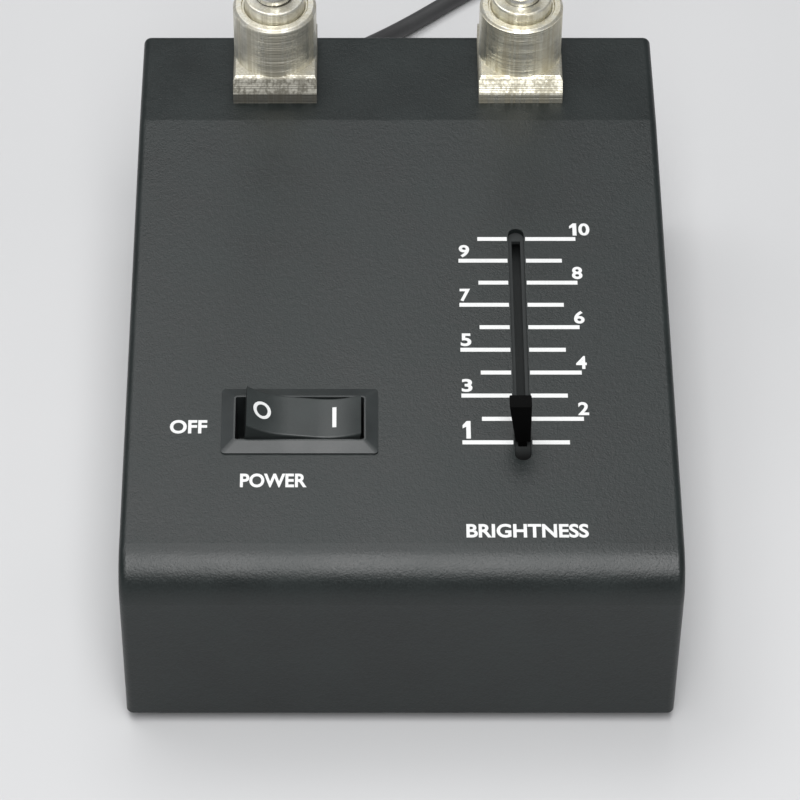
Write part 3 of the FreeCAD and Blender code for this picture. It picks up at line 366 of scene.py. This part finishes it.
# %% Dress the solids
wears = {
    "cover": coat, "base_plate": base_coat, "cover_screws": goods["zinc"], "rubber_feet": goods["feet"],
    "foot_screws": goods["zinc"], "switch_housing": goods["bezel"], "switch_rocker": goods["rocker"],
    "switch_terminals": goods["brass"], "control_case": goods["blackened"], "control_nuts": goods["zinc"],
    "control_terminals": goods["brass"], "slider_carriage": goods["acetal"], "slider_knob": goods["knob"],
    "driver_board": goods["board"], "board_spacers": goods["brass"], "board_screws": goods["zinc"],
    "transformer": goods["laminations"], "capacitors": goods["can"], "heat_sink": goods["sink"],
    "transistors": goods["epoxy"], "terminal_block": goods["block"], "strain_relief": goods["sheath"],
    "cord_inside": goods["sheath"], "power_plug": goods["plug"], "plug_pins": goods["pins"],
    "left_arm_base": dark_foot_nickel, "right_arm_base": fitting_nickel, "left_arm_lock_nut": dark_foot_nickel,
    "right_arm_lock_nut": fitting_nickel, "arm_back_nut": goods["zinc"],
    "head_shell": goods["aluminium"], "head_ring": fitting_nickel, "head_lens": goods["lens"],
    "head_light": goods["light_board"], "switch_leads": goods["insulation"],
    "control_leads": goods["insulation"], "mains_leads": goods["insulation"], "arm_leads": goods["insulation"],
}
for name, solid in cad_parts.items():
    material = wears.get(name) or wears.get(name.split("_", 1)[1])
    if material:
        solid.data.materials.clear()
        solid.data.materials.append(material)
print("dressed", sum(bool(s.data.materials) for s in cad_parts.values()), "solids")

# %% [markdown]
# The words and the scale are screen printed: thick white ink is pushed through a mesh and dries as a film
# you can just feel. An image could be laid on the panel, but real letters keep a crisp edge at any
# distance. Each word starts as a text object, becomes a mesh, and is fitted into its own rectangle of the
# panel. The film is a twentieth of a millimetre thick and is sunk a little, so that it touches the paint.

# %% Ink
ink = satin("screen_ink", (0.74, 0.745, 0.74), 0.55, grain=0.35, relief=0.01, drift=0.06)
INK_TOP, INK_SUNK = 0.05, -0.02
LETTER_SWELL = 0.028


def new_piece(name, verts, faces, materials, body=None, smooth=False, pick=None):
    """A mesh object from points and faces and the body it moves with."""
    mesh = bpy.data.meshes.new(name)
    mesh.from_pydata(verts, [], faces)
    for material in materials:
        mesh.materials.append(material)
    if pick:
        mesh.polygons.foreach_set("material_index", pick)
    mesh.polygons.foreach_set("use_smooth", [smooth] * len(faces))
    mesh.update()
    piece = in_scene(name, mesh)
    if body:
        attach(piece, body)
    return piece


def printed_word(word, left, right, low, high):
    """Bold letters fitted into a rectangle of the panel, as points and faces."""
    text = bpy.data.curves.new(word, "FONT")
    text.body = word
    text.offset = LETTER_SWELL
    text.extrude = 1.0
    text.resolution_u = 5
    held = in_scene(word, text)
    shape = bpy.data.meshes.new_from_object(held.evaluated_get(bpy.context.evaluated_depsgraph_get()))
    bpy.data.objects.remove(held)
    xs, ys = [v.co.x for v in shape.vertices], [v.co.y for v in shape.vertices]
    first_x, first_y = min(xs), min(ys)
    wide, tall = (right - left) / (max(xs) - first_x), (high - low) / (max(ys) - first_y)
    points = []
    for x, y, z in (v.co for v in shape.vertices):
        out = INK_TOP if z > 0 else INK_SUNK
        points.append(on_panel(left + (x - first_x) * wide, low + (y - first_y) * tall, out))
    return points, [tuple(face.vertices) for face in shape.polygons]


def printed_film(corners):
    """A flat film of ink inside a ring of corners."""
    count = len(corners)
    points = [on_panel(x, up, out) for out in (INK_SUNK, INK_TOP) for x, up in corners]
    sides = [(k, (k + 1) % count, count + (k + 1) % count, count + k) for k in range(count)]
    return points, [tuple(reversed(range(count))), tuple(range(count, 2 * count))] + sides


def printed_bar(left, right, low, high):
    return printed_film([(left, low), (right, low), (right, high), (left, high)])


def printed_one(left, right, low, high):
    """The figure 1 with a flag, which the built-in letters draw as a plain bar."""
    stem = right - 0.55 * (right - left)
    drop = 0.24 * (high - low)
    return printed_film([
        (stem, low), (right, low), (right, high), (stem + 0.1, high),
        (left, high - drop), (left, high - 1.75 * drop), (stem, high - 1.35 * drop)])


# %% [markdown]
# The scale runs from 1 to 10 beside the slot. Even lines reach to the right and carry their figure there,
# odd lines start further left and carry theirs on the left, and every line stops short of the slot.

# %% Words and scale
WORDS = {
    "OFF": (-45.9, -38.5, 35.05, 38.45), "POWER": (-31.7, -18.6, 21.7, 25.1),
    "BRIGHTNESS": (12.6, 36.4, 9.5, 12.8),
}
LINE_ONE, LINE_STEP, LINE_WEIGHT = 32.85, 5.9, 1.0
ODD_LINE, EVEN_LINE = (12.2, 33.5), (16.2, 36.5)
FIGURE_RISE, FIGURE_HIGH, FIGURE_WIDE = 0.95, 3.3, 2.15
ODD_FIGURE_IN, EVEN_FIGURE_BACK = 0.1, 1.05
ONE_SIDES, ONE_TALLER = (12.3, 13.9), 1.1
TEN_ONE_SIDES, TEN_NOUGHT_SIDES = (35.3, 36.8), (37.2, 39.5)
SLOT_SIDES = (22.3, 26.1)

marks = [printed_word(word, *place) for word, place in WORDS.items()]
for number in range(1, 11):
    line = LINE_ONE + LINE_STEP * (number - 1)
    left, right = ODD_LINE if number % 2 else EVEN_LINE
    for start, end in ((left, SLOT_SIDES[0]), (SLOT_SIDES[1], right)):
        marks.append(printed_bar(start, end, line - LINE_WEIGHT / 2, line + LINE_WEIGHT / 2))
    low, high = line + FIGURE_RISE, line + FIGURE_RISE + FIGURE_HIGH
    if number == 1:
        marks.append(printed_one(*ONE_SIDES, low, high + ONE_TALLER))
    elif number == 10:
        marks += [printed_one(*TEN_ONE_SIDES, low, high), printed_word("0", *TEN_NOUGHT_SIDES, low, high)]
    else:
        start = left + ODD_FIGURE_IN if number % 2 else right - EVEN_FIGURE_BACK
        marks.append(printed_word(str(number), start, start + FIGURE_WIDE, low, high))

print_verts, print_faces = [], []
for points, faces in marks:
    print_faces += [tuple(i + len(print_verts) for i in face) for face in faces]
    print_verts += points
new_piece("printed_scale", print_verts, print_faces, [ink], "case")
print("printed", len(marks), "marks,", len(print_faces), "faces")

# %% [markdown]
# The rocker's marks are moulded in and filled: a ring for off and a bar for on. The rocker's face is
# curved and stands tilted, so the marks can't be flat. Each point is dropped onto the face along a ray.

# %% Marks on the rocker
rocker_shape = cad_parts["switch_rocker"].data
rocker_face = BVHTree.FromPolygons(
    [v.co for v in rocker_shape.vertices], [tuple(f.vertices) for f in rocker_shape.polygons])
PANEL_OUT = (on_panel(0, 0, 1) - on_panel(0, 0, 0)).normalized()
MARK_STEPS, OVER_ROCKER = 48, 20
OFF_X, OFF_UP = -27.5, 38.1
ON_LEFT, ON_RIGHT, ON_LOW, ON_HIGH, ON_STEPS = -13.6, -12.8, 35.6, 40.6, 12


def on_rocker(x, up, lift):
    hit = rocker_face.ray_cast(on_panel(x, up, OVER_ROCKER), -PANEL_OUT)[0]
    return hit + PANEL_OUT * (lift * MM)


def rocker_mark(name, outer, inner, closed):
    """A film of ink between two lines of points that run side by side."""
    count = len(outer)
    verts = [on_rocker(x, up, lift) for lift in (INK_TOP, INK_SUNK) for x, up in outer + inner]
    faces = []
    for k in range(count if closed else count - 1):
        n = (k + 1) % count
        for a, b in ((0, 1), (1, 3), (3, 2), (2, 0)):
            faces.append((a * count + k, a * count + n, b * count + n, b * count + k))
    if not closed:
        last = count - 1
        faces += [(0, count, 3 * count, 2 * count), (last, last + 2 * count, last + 3 * count, last + count)]
    new_piece(name, verts, faces, [ink], "switch_rocker")


def off_oval(half_wide, half_high):
    turns = [2 * math.pi * k / MARK_STEPS for k in range(MARK_STEPS)]
    return [(OFF_X + half_wide * math.cos(t), OFF_UP + half_high * math.sin(t)) for t in turns]


rocker_mark("mark_off", off_oval(1.72, 2.1), off_oval(1.08, 1.42), True)
on_steps = [ON_LOW + (ON_HIGH - ON_LOW) * k / ON_STEPS for k in range(ON_STEPS + 1)]
rocker_mark("mark_on", [(ON_RIGHT, up) for up in on_steps], [(ON_LEFT, up) for up in on_steps], False)
print("rocker marked at", [round(v, 4) for v in on_rocker(OFF_X, OFF_UP, 0)])

# %% [markdown]
# The power cord leaves the rear wall through its sleeve, drops to the table and lies there. A curve with a
# round bevel is the cord: the points steer it and the spline rounds them off. The spare length is wound in
# a flat coil of two layers, and the coil's points come from a short formula.

# %% Power cord
cord_route = [
    (-16, 95.15, 14), (-16, 110.15, 14), (-9.5, 125.5, 4.5), (3, 137.2, 2), (19.5, 152, 2),
    (33, 161.4, 2), (50, 161.4, 2),
]
CORD_RADIUS, CORD_LENGTH = 2.0, 1.4306
COIL_X, COIL_Y, COIL_OUTER, COIL_PITCH, COIL_LOOPS, COIL_CLIMB = 54.0, 195.8, 34.4, 4.6, 4.0, 0.5
POINTS_A_TURN = 16


def coil_point(turns):
    """A point of the coil: it winds in, climbs a layer in half a turn, and winds out again."""
    inner = COIL_OUTER - COIL_LOOPS * COIL_PITCH
    climb = min(max((turns - COIL_LOOPS) / COIL_CLIMB, 0.0), 1.0)
    if turns <= COIL_LOOPS:
        radius = COIL_OUTER - COIL_PITCH * turns
    elif turns <= COIL_LOOPS + COIL_CLIMB:
        radius = inner - COIL_PITCH * climb * (1 - climb) / 2
    else:
        radius = inner + COIL_PITCH * (turns - COIL_LOOPS - COIL_CLIMB)
    radius /= math.cos(math.pi / POINTS_A_TURN)
    angle = 2 * math.pi * turns - math.pi / 2
    height = CORD_RADIUS + COIL_PITCH * climb * climb * (3 - 2 * climb)
    return (COIL_X + radius * math.cos(angle), COIL_Y + radius * math.sin(angle), height)


turns_in_all = 2 * COIL_LOOPS + COIL_CLIMB
coil_steps = round(turns_in_all * POINTS_A_TURN)
coil_route = [coil_point(turns_in_all * k / coil_steps) for k in range(1, coil_steps)]
plug_mouth = (COIL_X - 2 * CORD_RADIUS, COIL_Y + COIL_OUTER, CORD_RADIUS + COIL_PITCH)
cord_points = cord_route + coil_route + [(COIL_X, COIL_Y + COIL_OUTER, plug_mouth[2]), plug_mouth]

cord_curve = bpy.data.curves.new("power_cord", "CURVE")
cord_curve.dimensions = "3D"
cord_curve.bevel_depth = CORD_RADIUS * MM
cord_curve.bevel_resolution = 5
cord_curve.resolution_u = 5
cord_curve.use_fill_caps = True
line = cord_curve.splines.new("NURBS")
line.points.add(len(cord_points) - 1)
for point, place in zip(line.points, cord_points):
    point.co = (*at(*place), 1.0)
line.order_u = 3
line.use_endpoint_u = True
cord = in_scene("cord", cord_curve)
cord_curve.materials.append(goods["sheath"])
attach(cord, "case")
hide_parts("power_cord", "power_cord_coil")
print("cord has", len(cord_points), "points")

# %% [markdown]
# A coil stays a coil because something holds it. Here it is a woven hook-and-loop strap, pulled tight round
# the bundle on the side away from the plug. Its loop is the outline of the cords that it goes round: for
# every direction, the cord that reaches farthest that way carries the strap. Where the strap's end is
# pressed down over its start it is two layers thick.

# %% Cord tie
TIE_WIDTH, TIE_THICKNESS, TIE_SLACK, TIE_BED, TIE_STEPS = 7.0, 0.75, 0.05, 0.12, 96
DOUBLED = range(4, 28)
FIRST_TIED_TURN = 0.25
TIE_SECTION = [(-0.5, 0.0), (-0.5, 0.7), (-0.46, 1.0), (0.46, 1.0), (0.5, 0.7), (0.5, 0.0)]


def hoop_faces(sides, rows):
    """Faces of a closed hoop of points, made as so many sides with so many rows each."""
    faces = []
    for k in range(sides):
        here, ahead = k * rows, (k + 1) % sides * rows
        for row in range(rows):
            above = (row + 1) % rows
            faces.append((here + row, ahead + row, ahead + above, here + above))
    return faces


tied = []
for k in range(math.ceil(turns_in_all)):
    x, y, z = coil_point(FIRST_TIED_TURN + k)
    tied.append((math.hypot(x - COIL_X, y - COIL_Y) * math.cos(math.pi / POINTS_A_TURN), z))
tie_verts = []
for k in range(TIE_STEPS):
    turn = 2 * math.pi * k / TIE_STEPS
    out, up = math.cos(turn), math.sin(turn)
    middle = max(tied, key=lambda run: run[0] * out + run[1] * up)
    thickness = TIE_THICKNESS * (2 if k in DOUBLED else 1)
    for along, lift in TIE_SECTION:
        reach = CORD_RADIUS + TIE_SLACK + thickness * lift
        height = max(middle[1] + reach * up, TIE_BED * (1 - lift))
        tie_verts.append(at(COIL_X + middle[0] + reach * out, COIL_Y + along * TIE_WIDTH, height))
woven = satin("woven_strap", (0.05, 0.05, 0.052), 0.85, grain=0.3, relief=0.12, drift=0.45,
              stretch=(1, 2, 1), shine=0.25)
tie = new_piece("cord_tie", tie_verts, hoop_faces(TIE_STEPS, len(TIE_SECTION)), [woven], "case")
print("tie goes round", len(tied), "runs of cord")

# %% [markdown]
# To Blender the cord is only a curve. The next line prints how long the real one is.

# %% The cord's length
print("cord is", CORD_LENGTH, "m long")

# %% [markdown]
# The arms are gooseneck: a round spring with a second wire wound into its groove. Each neck is swept here
# as a tube whose radius swells and shrinks along a helix, which gives the wound ribs. Where a real neck
# bends, the ribs fan out; here each length is one mesh that is bound to no body.
# First comes the centre line: straight runs and arcs from the fitting to the head, in a plane that leans
# out over the box's front corner.

# %% The neck's centre line
NECK_RADIUS, NECK_STRAIGHT, NECK_SWEEP = 4.0, 96.0, 60.0
LOWER_TURN, UPPER_TURN = math.radians(50), math.radians(82)
FITTING_TOP = BLOCK_HEIGHT + BARREL_HEIGHT
LOCK_NUT_RISE, ROOT_RISE = 2.6, 9.0
ROOT_TOP = FITTING_TOP + LOCK_NUT_RISE + ROOT_RISE
FLAT_RUN, FITTING_BEHIND_CREASE = 27.5, 16.8
FITTING_X, FITTING_Y = 26.2, REAR_Y - FLAT_RUN + FITTING_BEHIND_CREASE
ARM_PLANE = math.radians(45)
BEND_LIMIT = math.radians(40)
PIVOT_GAP = NECK_RADIUS * math.tan(BEND_LIMIT)
RUN_PAST_PIVOT, RUN_TO_HEAD = 30.0, 14.0
NECK_RUNS = [
    (NECK_STRAIGHT, 0.0), (NECK_SWEEP * LOWER_TURN, LOWER_TURN), (PIVOT_GAP + RUN_PAST_PIVOT, 0.0),
    (NECK_SWEEP * UPPER_TURN, UPPER_TURN), (RUN_TO_HEAD, 0.0),
]


def neck_place(distance):
    """Out from the fitting's axis, height over the roof, and lean, at a distance from the root's top."""
    out, up, lean = 0.0, ROOT_TOP, 0.0
    if distance < 0:
        return out, up + distance, lean
    for length, turn in NECK_RUNS:
        here = min(distance, length)
        if turn:
            part = turn * here / length
            out += NECK_SWEEP * (math.cos(lean) - math.cos(lean + part))
            up += NECK_SWEEP * (math.sin(lean + part) - math.sin(lean))
            lean += part
        else:
            out += here * math.sin(lean)
            up += here * math.cos(lean)
        distance -= here
        if distance <= 0:
            break
    return out, up, lean


def arm_frame(side, out, up, lean):
    """A place on an arm with its two cross directions and its heading."""
    away = Vector((side * math.sin(ARM_PLANE), -math.cos(ARM_PLANE), 0))
    place = Vector((side * FITTING_X, FITTING_Y, ROOF_Z + up)) + away * out
    heading = away * math.sin(lean) + Vector((0, 0, math.cos(lean)))
    across = away * math.cos(lean) - Vector((0, 0, math.sin(lean)))
    return place * MM, across, heading.cross(across), heading


neck_length = sum(length for length, turn in NECK_RUNS)
print("neck is", round(neck_length, 1), "mm from its root's top to the head")

# %% [markdown]
# The ribs come from the radius alone. Each rib is half an ellipse in profile, a turn of the helix apart,
# and eight rings of points follow each one, which is enough to keep the valleys between them sharp.

# %% Wound neck meshes
RIB_PITCH, RIB_DEPTH, RIB_SIDES, RINGS_A_RIB = 2.4, 0.42, 28, 8
NECK_START, NECK_SEAM = -13.0, NECK_STRAIGHT - 20
ROOT_BEND = (-7.0, 22.0)
PIVOT_BEND = 18.0


def rib_radius(distance, turn):
    """Radius of the wound neck: round ribs with a sharp valley between them."""
    phase = (distance / RIB_PITCH - turn) % 1.0
    swell = math.sqrt(max(0.0, 1 - (2 * phase - 1) ** 2))
    return NECK_RADIUS - RIB_DEPTH * (1 - swell)


def wound_neck(name, side, start, end):
    count = math.ceil((end - start) / (RIB_PITCH / RINGS_A_RIB))
    verts, faces = [], []
    for ring in range(count + 1):
        distance = start + (end - start) * ring / count
        place, across, other, heading = arm_frame(side, *neck_place(distance))
        for k in range(RIB_SIDES):
            turn = k / RIB_SIDES
            angle = 2 * math.pi * turn
            radius = rib_radius(distance, turn) * MM
            verts.append(place + across * (radius * math.cos(angle)) + other * (radius * math.sin(angle)))
    for ring in range(count):
        for k in range(RIB_SIDES):
            a, b = ring * RIB_SIDES + k, ring * RIB_SIDES + (k + 1) % RIB_SIDES
            faces.append((a, b, b + RIB_SIDES, a + RIB_SIDES))
    faces.append(tuple(reversed(range(RIB_SIDES))))
    faces.append(tuple(range(count * RIB_SIDES, (count + 1) * RIB_SIDES)))
    return new_piece(name, verts, faces, [neck_nickel], smooth=True)


def on_neck(side, distance):
    return arm_frame(side, *neck_place(distance))[0]


SIDES = (("left", -1), ("right", 1))
pivot_at = NECK_STRAIGHT + NECK_SWEEP * LOWER_TURN + PIVOT_GAP
for word, side in SIDES:
    lower = wound_neck(word + "_neck_wound_lower", side, NECK_START, NECK_SEAM)
    upper = wound_neck(word + "_neck_wound_upper", side, NECK_SEAM, neck_length)
    on_neck(side, ROOT_BEND[0])
    on_neck(side, ROOT_BEND[1])
    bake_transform(lower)
    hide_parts(word + "_neck_root", word + "_neck_lower")
    on_neck(side, pivot_at - PIVOT_BEND)
    on_neck(side, pivot_at + PIVOT_BEND)
    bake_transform(upper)
    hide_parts(word + "_neck_upper")
    print(word, "neck", len(lower.data.vertices) + len(upper.data.vertices), "points")

# %% [markdown]
# A lamp head is turned from aluminium bar. Its front ring unscrews, so its rim is knurled: two sets of
# slanting grooves cross and leave small diamonds. A bump would fake them, but the ring's outline shows
# against the light, so the diamonds are cut into the mesh by lowering its radius along both slants.

# %% Knurled rings
HEAD_LENGTH, HEAD_RADIUS, HEAD_SOCKET = 46.0, 13.0, 7.0
RING_RADIUS, RING_LENGTH, RING_LIP, LIP_DEPTH = 13.8, 6.0, 2.6, 1.4
KNURLS, KNURL_DEPTH, KNURL_RISE = 52, 0.32, 1.6


def turned(outline, seat, sides, shape=None):
    """Sweeps an outline of (radius, height) round an axis, as points and faces."""
    place, across, other, heading = seat
    verts = []
    for k in range(sides):
        angle = 2 * math.pi * k / sides
        out = across * math.cos(angle) + other * math.sin(angle)
        for radius, height in outline:
            here = shape(radius, height, angle) if shape else radius
            verts.append(place + out * (here * MM) + heading * (height * MM))
    return verts, hoop_faces(sides, len(outline))


def knurl(radius, height, angle):
    """Lowers the ring's outer wall along two crossing sets of slanting grooves."""
    if radius < RING_RADIUS - 0.01:
        return radius
    first = (angle * KNURLS / (2 * math.pi) + height / KNURL_RISE) % 1.0
    second = (angle * KNURLS / (2 * math.pi) - height / KNURL_RISE) % 1.0
    groove = max(abs(2 * first - 1), abs(2 * second - 1))
    return radius - KNURL_DEPTH * groove ** 2


def head_seat(side):
    """The head's own axis: its rear end sits a socket's depth before the end of the neck."""
    place, across, other, heading = arm_frame(side, *neck_place(neck_length))
    return place - heading * (HEAD_SOCKET * MM), across, other, heading


RING_PLAY, RING_CHAMFER, RING_STEPS, RING_SIDES = 0.05, 0.35, 18, 208
REAR_BEVEL, FRONT_BEVEL, LIP_BEVEL = 0.4, 0.45, 0.3
ring_start, ring_front = HEAD_LENGTH - RING_LENGTH + LIP_DEPTH, HEAD_LENGTH + LIP_DEPTH + RING_PLAY
lip_radius, wall = HEAD_RADIUS - RING_LIP, ring_front - ring_start - 2 * RING_CHAMFER
ring_outline = [(HEAD_RADIUS + RING_PLAY, ring_start), (RING_RADIUS - REAR_BEVEL, ring_start)]
for k in range(RING_STEPS + 1):
    ring_outline.append((RING_RADIUS, ring_start + RING_CHAMFER + wall * k / RING_STEPS))
ring_outline += [
    (RING_RADIUS - FRONT_BEVEL, ring_front), (lip_radius + LIP_BEVEL, ring_front),
    (lip_radius, ring_front - LIP_BEVEL), (lip_radius, HEAD_LENGTH + RING_PLAY),
    (HEAD_RADIUS + RING_PLAY, HEAD_LENGTH + RING_PLAY),
]


def turned_aluminium(name, heading):
    """Bright bar with the fine rings that a lathe leaves along one axis."""
    finish = Finish(name)
    lines = finish.grain(0.3, detail=2.0, where=finish.along(heading))
    cloud = finish.grain(7.0, detail=3.0)
    tone = finish.ramp(lines * 0.5 + cloud * 0.5, 0.35, 0.65)
    return finish.surface(
        Base_Color=finish.blend(tone, rgb(0.56, 0.56, 0.55), rgb(0.7, 0.7, 0.68)),
        Roughness=finish.ramp(lines, 0.3, 0.7, 0.24, 0.36), Metallic=1.0, Normal=finish.bump(lines, 0.012))


for word, side in SIDES:
    seat = head_seat(side)
    metal = turned_aluminium(word + "_head_aluminium", tuple(seat[3]))
    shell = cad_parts[word + "_head_shell"]
    shell.data.materials.clear()
    shell.data.materials.append(metal)
    verts, faces = turned(ring_outline, seat, RING_SIDES, knurl)
    ring = new_piece(word + "_knurled_ring", verts, faces, [metal], word + "_upper_neck")
    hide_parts(word + "_head_ring")
    print(word, "ring", len(verts), "points")

# %% [markdown]
# Behind each lens sits the light itself: a round white board, a raised white dam on it, and inside the dam
# a pool of yellow phosphor over the chip. One turned outline makes all three, and a face's step along the
# outline decides which of the three finishes it gets.

# %% Light boards
LIGHT_RADIUS, LIGHT_FLOOR, LIGHT_BOARD, BOARD_EDGE, LIGHT_SIDES = 11.15, HEAD_LENGTH - 10.95, 1.6, 0.2, 64
board_face = LIGHT_FLOOR + LIGHT_BOARD
board_outline = [
    (0.05, LIGHT_FLOOR), (LIGHT_RADIUS - BOARD_EDGE, LIGHT_FLOOR), (LIGHT_RADIUS, LIGHT_FLOOR + BOARD_EDGE),
    (LIGHT_RADIUS, board_face - BOARD_EDGE), (LIGHT_RADIUS - BOARD_EDGE, board_face),
]
dam_rise = [(4.4, 0.0), (4.3, 0.5), (4.0, 0.7), (3.5, 0.7)]
pool_rise = [(3.2, 0.45), (2.4, 0.62), (1.2, 0.75), (0.05, 0.78)]
light_outline = board_outline + [(radius, board_face + rise) for radius, rise in dam_rise + pool_rise]
light_picks = [0] * len(board_outline) + [1] * len(dam_rise) + [2] * len(pool_rise)
white_mask = satin("white_mask", (0.75, 0.75, 0.73), 0.4, drift=0.05)
white_dam = satin("white_dam", (0.8, 0.8, 0.78), 0.5, drift=0.04)
phosphor = satin("phosphor", (0.75, 0.5, 0.05), 0.45, grain=0.3, relief=0.01)
for word, side in SIDES:
    verts, faces = turned(light_outline, head_seat(side), LIGHT_SIDES)
    light = new_piece(word + "_light_board", verts, faces, [white_mask, white_dam, phosphor],
                      word + "_upper_neck", pick=light_picks * LIGHT_SIDES)
    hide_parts(word + "_head_light")
print("light boards made")

# %% [markdown]
# In the mouth of each fitting, a ring of spring steel sits between the lock nut and the rim. It is small,
# but it catches the light where there would otherwise be a black gap.

# %% Spring rings
SPRING_INNER, SPRING_OUTER, SPRING_SIDES = 6.5, 7.1, 72
spring_low, spring_edge, spring_top = FITTING_TOP - 2.95, FITTING_TOP - 0.5, FITTING_TOP - 0.3
spring_outline = [
    (SPRING_INNER, spring_low), (SPRING_OUTER, spring_low), (SPRING_OUTER, spring_edge),
    (SPRING_OUTER - 0.15, spring_top), (SPRING_INNER + 0.15, spring_top), (SPRING_INNER, spring_edge),
]
for word, side in SIDES:
    verts, faces = turned(spring_outline, arm_frame(side, 0, 0, 0), SPRING_SIDES)
    new_piece(word + "_spring_ring", verts, faces, [fitting_nickel], "case")
print("spring rings made")

# %% [markdown]
# The floor is a pale studio sheet. It is one large plane, marked as stage because it isn't part of the
# object. It keeps the soft shadow that the box drops on it.

# %% Floor
floor_mesh = bpy.data.meshes.new("floor")
floor_mesh.from_pydata([(-4, -4, 0), (4, -4, 0), (4, 4, 0), (-4, 4, 0)], [], [(0, 1, 2, 3)])
floor = in_scene("floor", floor_mesh)
sheet = Finish("studio_sheet")
floor_mesh.materials.append(sheet.surface(
    Base_Color=sheet.blend(sheet.grain(60.0), rgb(0.58, 0.583, 0.588), rgb(0.61, 0.61, 0.616)), Roughness=0.75))
floor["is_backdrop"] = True
print("floor is", round(floor.dimensions.x, 1), "m wide")

# %% [markdown]
# A tall soft lamp in front gives the bright line along the folded front edge. A second one behind lights
# the panel and the fittings, and a faint, cool world fills the shadows. All three are weak enough that a
# colour renders about as it is written.

# %% Light
world = bpy.data.worlds.new("studio")
bpy.context.scene.world = world
world.use_nodes = True
background = world.node_tree.nodes["Background"]
background.inputs["Color"].default_value = rgb(0.9, 0.92, 0.95)
background.inputs["Strength"].default_value = 0.22


def lamp(name, place, target, size, power):
    light = bpy.data.lights.new(name, "AREA")
    light.shape = "RECTANGLE"
    light.size, light.size_y = size
    light.energy = power
    held = in_scene(name, light)
    held.location = place
    held.rotation_euler = (Vector(target) - Vector(place)).to_track_quat("-Z", "Y").to_euler()
    print(name, power, "W")


lamp("front_softbox", (0.02, -0.6, 1.22), (0, -0.1, 0), (0.6, 1.2), 17)
lamp("rear_softbox", (-0.25, 0.38, 1.22), (0, 0, 0.03), (1.1, 0.6), 7.5)

bpy.context.scene.view_settings.view_transform = "Standard"

# %% [markdown]
# A finish must not change how big a thing is. The box round the dressed model is printed beside the one
# that was taken when only the solids were there.

# %% Sizes
bpy.context.view_layer.update()
look_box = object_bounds()
for name, box in (("cad", cad_box), ("visual", look_box)):
    print(name, "size", [round(v, 4) for v in box[1] - box[0]])
